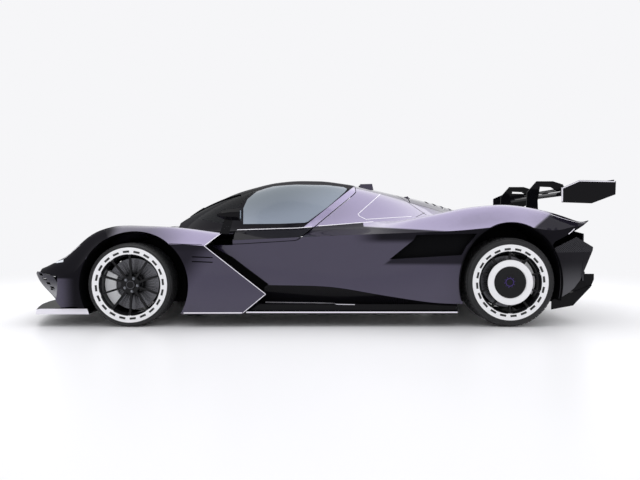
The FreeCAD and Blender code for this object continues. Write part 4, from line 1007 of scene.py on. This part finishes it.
# Seats: suede pads sewn in channels on a bare shell.
def suede():
    """Grey suede with a brushed nap."""
    g = Graph("seat_suede")
    nap = g.noise(420.0, 4.0, 0.6)
    brushed = g.noise(11.0, 3.0)
    return g.finish(Base_Color=(nap * 0.4 + brushed * 0.6).blend(tone(62, 60, 67), tone(98, 95, 104)),
                    Roughness=nap * 0.15 + 0.8, Sheen_Weight=0.35, Normal=g.bump(nap, 0.5, 0.0006))


def loose_parts(node):
    """The separate solids of a CAD node as meshes, each with its lowest and highest corner."""
    whole = bmesh.new()
    whole.from_mesh(NODES[node].data)
    bmesh.ops.remove_doubles(whole, verts=whole.verts, dist=1e-5)
    waiting = set(whole.verts)
    found = []
    while waiting:
        reached = {next(v for v in whole.verts if v in waiting)}
        edge = list(reached)
        while edge:
            for link in edge.pop().link_edges:
                for vert in link.verts:
                    if vert not in reached:
                        reached.add(vert)
                        edge.append(vert)
        waiting -= reached
        part = whole.copy()
        part.verts.ensure_lookup_table()
        keep = {v.index for v in reached}
        bmesh.ops.delete(part, geom=[v for v in part.verts if v.index not in keep], context="VERTS")
        spots = [v.co.copy() for v in part.verts]
        low = Vector([min(s[i] for s in spots) for i in range(3)])
        high = Vector([max(s[i] for s in spots) for i in range(3)])
        found.append((faced(part), low, high))
    whole.free()
    return found


def applied(thing):
    """The mesh of an object with its modifiers worked in."""
    ready = thing.evaluated_get(bpy.context.evaluated_depsgraph_get())
    mesh = bpy.data.meshes.new_from_object(ready)
    thing.modifiers.clear()
    thing.data = mesh
    return mesh


# In metres, apart from the steps and the pressure of the simulation.
PAD_CELL = 0.007
PAD_INSET = 0.006
SWELL_LIMIT = 0.008
SWELL_STEPS = 20
PRESSURE = 4.0


def swollen(pads):
    """Pads filled by a cloth simulation with pressure, each held near the shape it starts from."""
    things = []
    for mesh, low, high in pads:
        middle = (low + high) / 2
        share = [1 - 2 * PAD_INSET / (high[i] - low[i]) for i in range(3)]
        shrink = Matrix.Diagonal(share + [1])
        mesh.transform(Matrix.Translation(middle) @ shrink @ Matrix.Translation(-middle))
        thing = linked("pad", mesh)
        remesh = thing.modifiers.new("cells", "REMESH")
        remesh.mode = "VOXEL"
        remesh.voxel_size = PAD_CELL
        applied(thing)
        things.append(thing)
    starts = [[v.co.copy() for v in thing.data.vertices] for thing in things]
    for thing in things:
        cloth = thing.modifiers.new("cloth", "CLOTH").settings
        cloth.use_pressure = True
        cloth.uniform_pressure_force = PRESSURE
        cloth.effector_weights.gravity = 0.0
        cloth.quality = 4
    for step in range(SWELL_STEPS):
        bpy.context.scene.frame_set(step + 1)
    for thing in things:
        applied(thing)
    bpy.context.scene.frame_set(1)
    made = []
    for thing, start, (_, low, high) in zip(things, starts, pads):
        for vertex, home in zip(thing.data.vertices, start):
            move = vertex.co - home
            if move.length > SWELL_LIMIT:
                vertex.co = home + move * (SWELL_LIMIT / move.length)
            vertex.co.y = min(max(vertex.co.y, low.y), high.y)
        made.append(thing.data)
        bpy.data.objects.remove(thing)
    return made


CHANNEL_DEPTH = 0.006
CHANNEL_REACH = 0.006


def sewn(mesh, lines):
    """Channels pressed into a pad along lines, each given as what measures the distance to it."""
    bm = bmesh.new()
    bm.from_mesh(mesh)
    bm.normal_update()
    moves = []
    for vert in bm.verts:
        near = min(line(vert.co) for line in lines)
        moves.append(vert.normal * (-CHANNEL_DEPTH * math.exp(-((near / CHANNEL_REACH) ** 2))))
    for vert, move in zip(bm.verts, moves):
        vert.co += move
    bmesh.ops.subdivide_edges(bm, edges=bm.edges, cuts=1, use_grid_fill=True, smooth=0.6)
    bm.to_mesh(mesh)
    bm.free()
    mesh.shade_smooth()
    return mesh


SUEDE = suede()
SHELL_HEIGHT = 0.7
parts = loose_parts("seats")
shells = [mesh for mesh, low, high in parts if high.z - low.z > SHELL_HEIGHT]
pads = [(mesh, low, high) for mesh, low, high in parts if high.y < 0 and high.z - low.z < SHELL_HEIGHT]
pads.sort(key=lambda part: part[1].z)
piece("seat_shells", joined(shells), "chassis", [FINISHES["carbon"]], ["seats"])
SEAT_MIDDLE = -0.325


def lengthwise(gap):
    """The distance to two lines on both sides of the seat's middle."""
    return lambda p: abs(abs(p.y - SEAT_MIDDLE) - gap)


# For each pad, what measures the distance to its sewn lines.
channels = [
    [lengthwise(0.105), lambda p: abs(p.x + 0.12)],
    [lengthwise(0.105), lambda p: abs(p.z - 0.46), lambda p: abs(p.z - 0.62)],
    [lengthwise(0.06)],
]
for name, mesh, lines in zip(("base_pad", "back_pad", "head_pad"), swollen(pads), channels):
    sewn(mesh, lines)
    for side, half in (("left", mesh), ("right", mirrored(mesh))):
        pad = piece("%s_%s" % (name, side), half, "chassis", [SUEDE], ["seats"])


# Mirror glasses, the wiper, the dashboard display and the plates that carry the diffuser.
PLATE_SIDES = 24


def plate(x, y, z, half_y, half_z, thick, corner):
    """A flat plate that faces backwards, its corners rounded, centred on a point given in millimetres."""
    bm = bmesh.new()
    outline = []
    for i in range(PLATE_SIDES):
        turn = math.tau * i / PLATE_SIDES
        a, b = math.cos(turn), math.sin(turn)
        outline.append((math.copysign(half_y - corner, a) + corner * a,
                        math.copysign(half_z - corner, b) + corner * b))
    rows = [[bm.verts.new(at(x + depth, y + a, z + b)) for a, b in outline] for depth in (0, thick)]
    lofted(bm, rows)
    return faced(bm)


GLASS = satin("mirror_glass", tone(206, 210, 216), tone(214, 218, 224), 0.1, metal=1.0, grain=60.0,
              depth=0.00001)
piece("mirror_glasses", both(plate(-568, -942, 846, 47, 31, 3, 12), GLASS), "chassis")
wiper = joined([strip(["windscreen"], [(-1130, -40), (-900, -200), (-640, -380)], 9, True, 9.0, 1.0),
                strip(["windscreen"], [(-1130, -40), (-1000, -90)], 16, True, 15.0, 1.0)])
piece("wiper", wiper, "canopy", [SEAM])
DISPLAY_MIDDLE = (-330, 590)
DISPLAY = lamp_glass("display_glass", tone(12, 14, 22), tone(26, 30, 46), 0.3)
display = plate(facing("dashboard", *DISPLAY_MIDDLE) - 1, *DISPLAY_MIDDLE, 92, 30, 5, 10)
piece("display", display, "chassis", [DISPLAY])


def side_plate(outline, y, thick, finish):
    """A plate seen from the side as (x, z), its outer face at y, and its mirror image."""
    bm = bmesh.new()
    rows = [[bm.verts.new(at(x, -y + inward, z)) for x, z in outline] for inward in (0, thick)]
    lofted(bm, rows)
    bmesh.ops.bevel(bm, geom=list(bm.edges), offset=0.0012, segments=1, affect="EDGES")
    return both(faced(bm), finish)


BRACE = [(1985, 250), (2100, 250), (2100, 400), (2040, 470), (1985, 470)]
piece("diffuser_braces", side_plate(BRACE, 812, 8, FINISHES["carbon"]), "chassis")


# Floor, light and camera.
BACKDROP = tone(246, 246, 248)
FLOOR_HALF = 60.0


def floor_plane(material):
    """A wide floor, which belongs to the stage and not to the car."""
    corners = [(-FLOOR_HALF, -FLOOR_HALF, 0.0), (FLOOR_HALF, -FLOOR_HALF, 0.0),
               (FLOOR_HALF, FLOOR_HALF, 0.0), (-FLOOR_HALF, FLOOR_HALF, 0.0)]
    mesh = bpy.data.meshes.new("floor")
    mesh.from_pydata(corners, [], [(0, 1, 2, 3)])
    mesh.materials.append(material)
    linked("floor", mesh)


def floor_finish():
    """Pale ground that passes into the backdrop where the camera sees it far away."""
    g = Graph("studio_floor")
    x, y, _ = g.place()
    drift = g.noise(0.35, 2.0)
    ground = drift.blend(tone(238, 238, 240), tone(243, 243, 245))
    values = {"Base Color": ground, "Roughness": drift * 0.1 + 0.3}
    near = g.node("ShaderNodeBsdfPrincipled", None, values)
    far = g.node("ShaderNodeEmission", None, {"Color": BACKDROP, "Strength": 1.0})
    seen = g.node("ShaderNodeLightPath", None, None, "Is Camera Ray")
    reach = (x * x + y * y).math("SQRT")
    mixed = g.node("ShaderNodeMixShader", None, {0: reach.ramp(2.6, 7.0) * seen, 1: near, 2: far})
    g.node("ShaderNodeOutputMaterial", None, {"Surface": mixed})
    return g.owner


floor_plane(floor_finish())

# A wide soft ceiling of light, which shines straight down.
ceiling = bpy.data.lights.new("ceiling", "AREA")
ceiling.shape = "RECTANGLE"
ceiling.size = 9.0
ceiling.size_y = 6.0
ceiling.energy = 215.0
linked("ceiling", ceiling).location = (0.0, 0.8, 4.2)

world = bpy.data.worlds.new("studio")
bpy.context.scene.world = world
g = Graph("studio", owner=world)
lit = g.node("ShaderNodeBackground", None, {"Color": tone(250, 250, 252), "Strength": 0.95})
shown = g.node("ShaderNodeBackground", None, {"Color": BACKDROP, "Strength": 1.0})
sight = g.node("ShaderNodeLightPath", None, None, "Is Camera Ray")
for ray in ("Is Glossy Ray", "Is Transmission Ray"):
    sight = sight.math("MAXIMUM", g.node("ShaderNodeLightPath", None, None, ray))
mixed = g.node("ShaderNodeMixShader", None, {0: sight, 1: lit, 2: shown})
g.node("ShaderNodeOutputWorld", None, {"Surface": mixed})

# The photo's eye point, from the side of the car and tilted a little down.
CAMERA_PLACE = (0.048, -5.467, 0.751)
CAMERA_TILT = 1.245
lens = bpy.data.cameras.new("camera")
lens.lens = 33.64
lens.sensor_width = 36.0
camera = linked("camera", lens)
camera.location = CAMERA_PLACE
camera.rotation_euler = Euler((math.radians(90.0 - CAMERA_TILT), 0.0, 0.0))
bpy.context.scene.camera = camera
bpy.context.scene.view_settings.view_transform = "Standard"
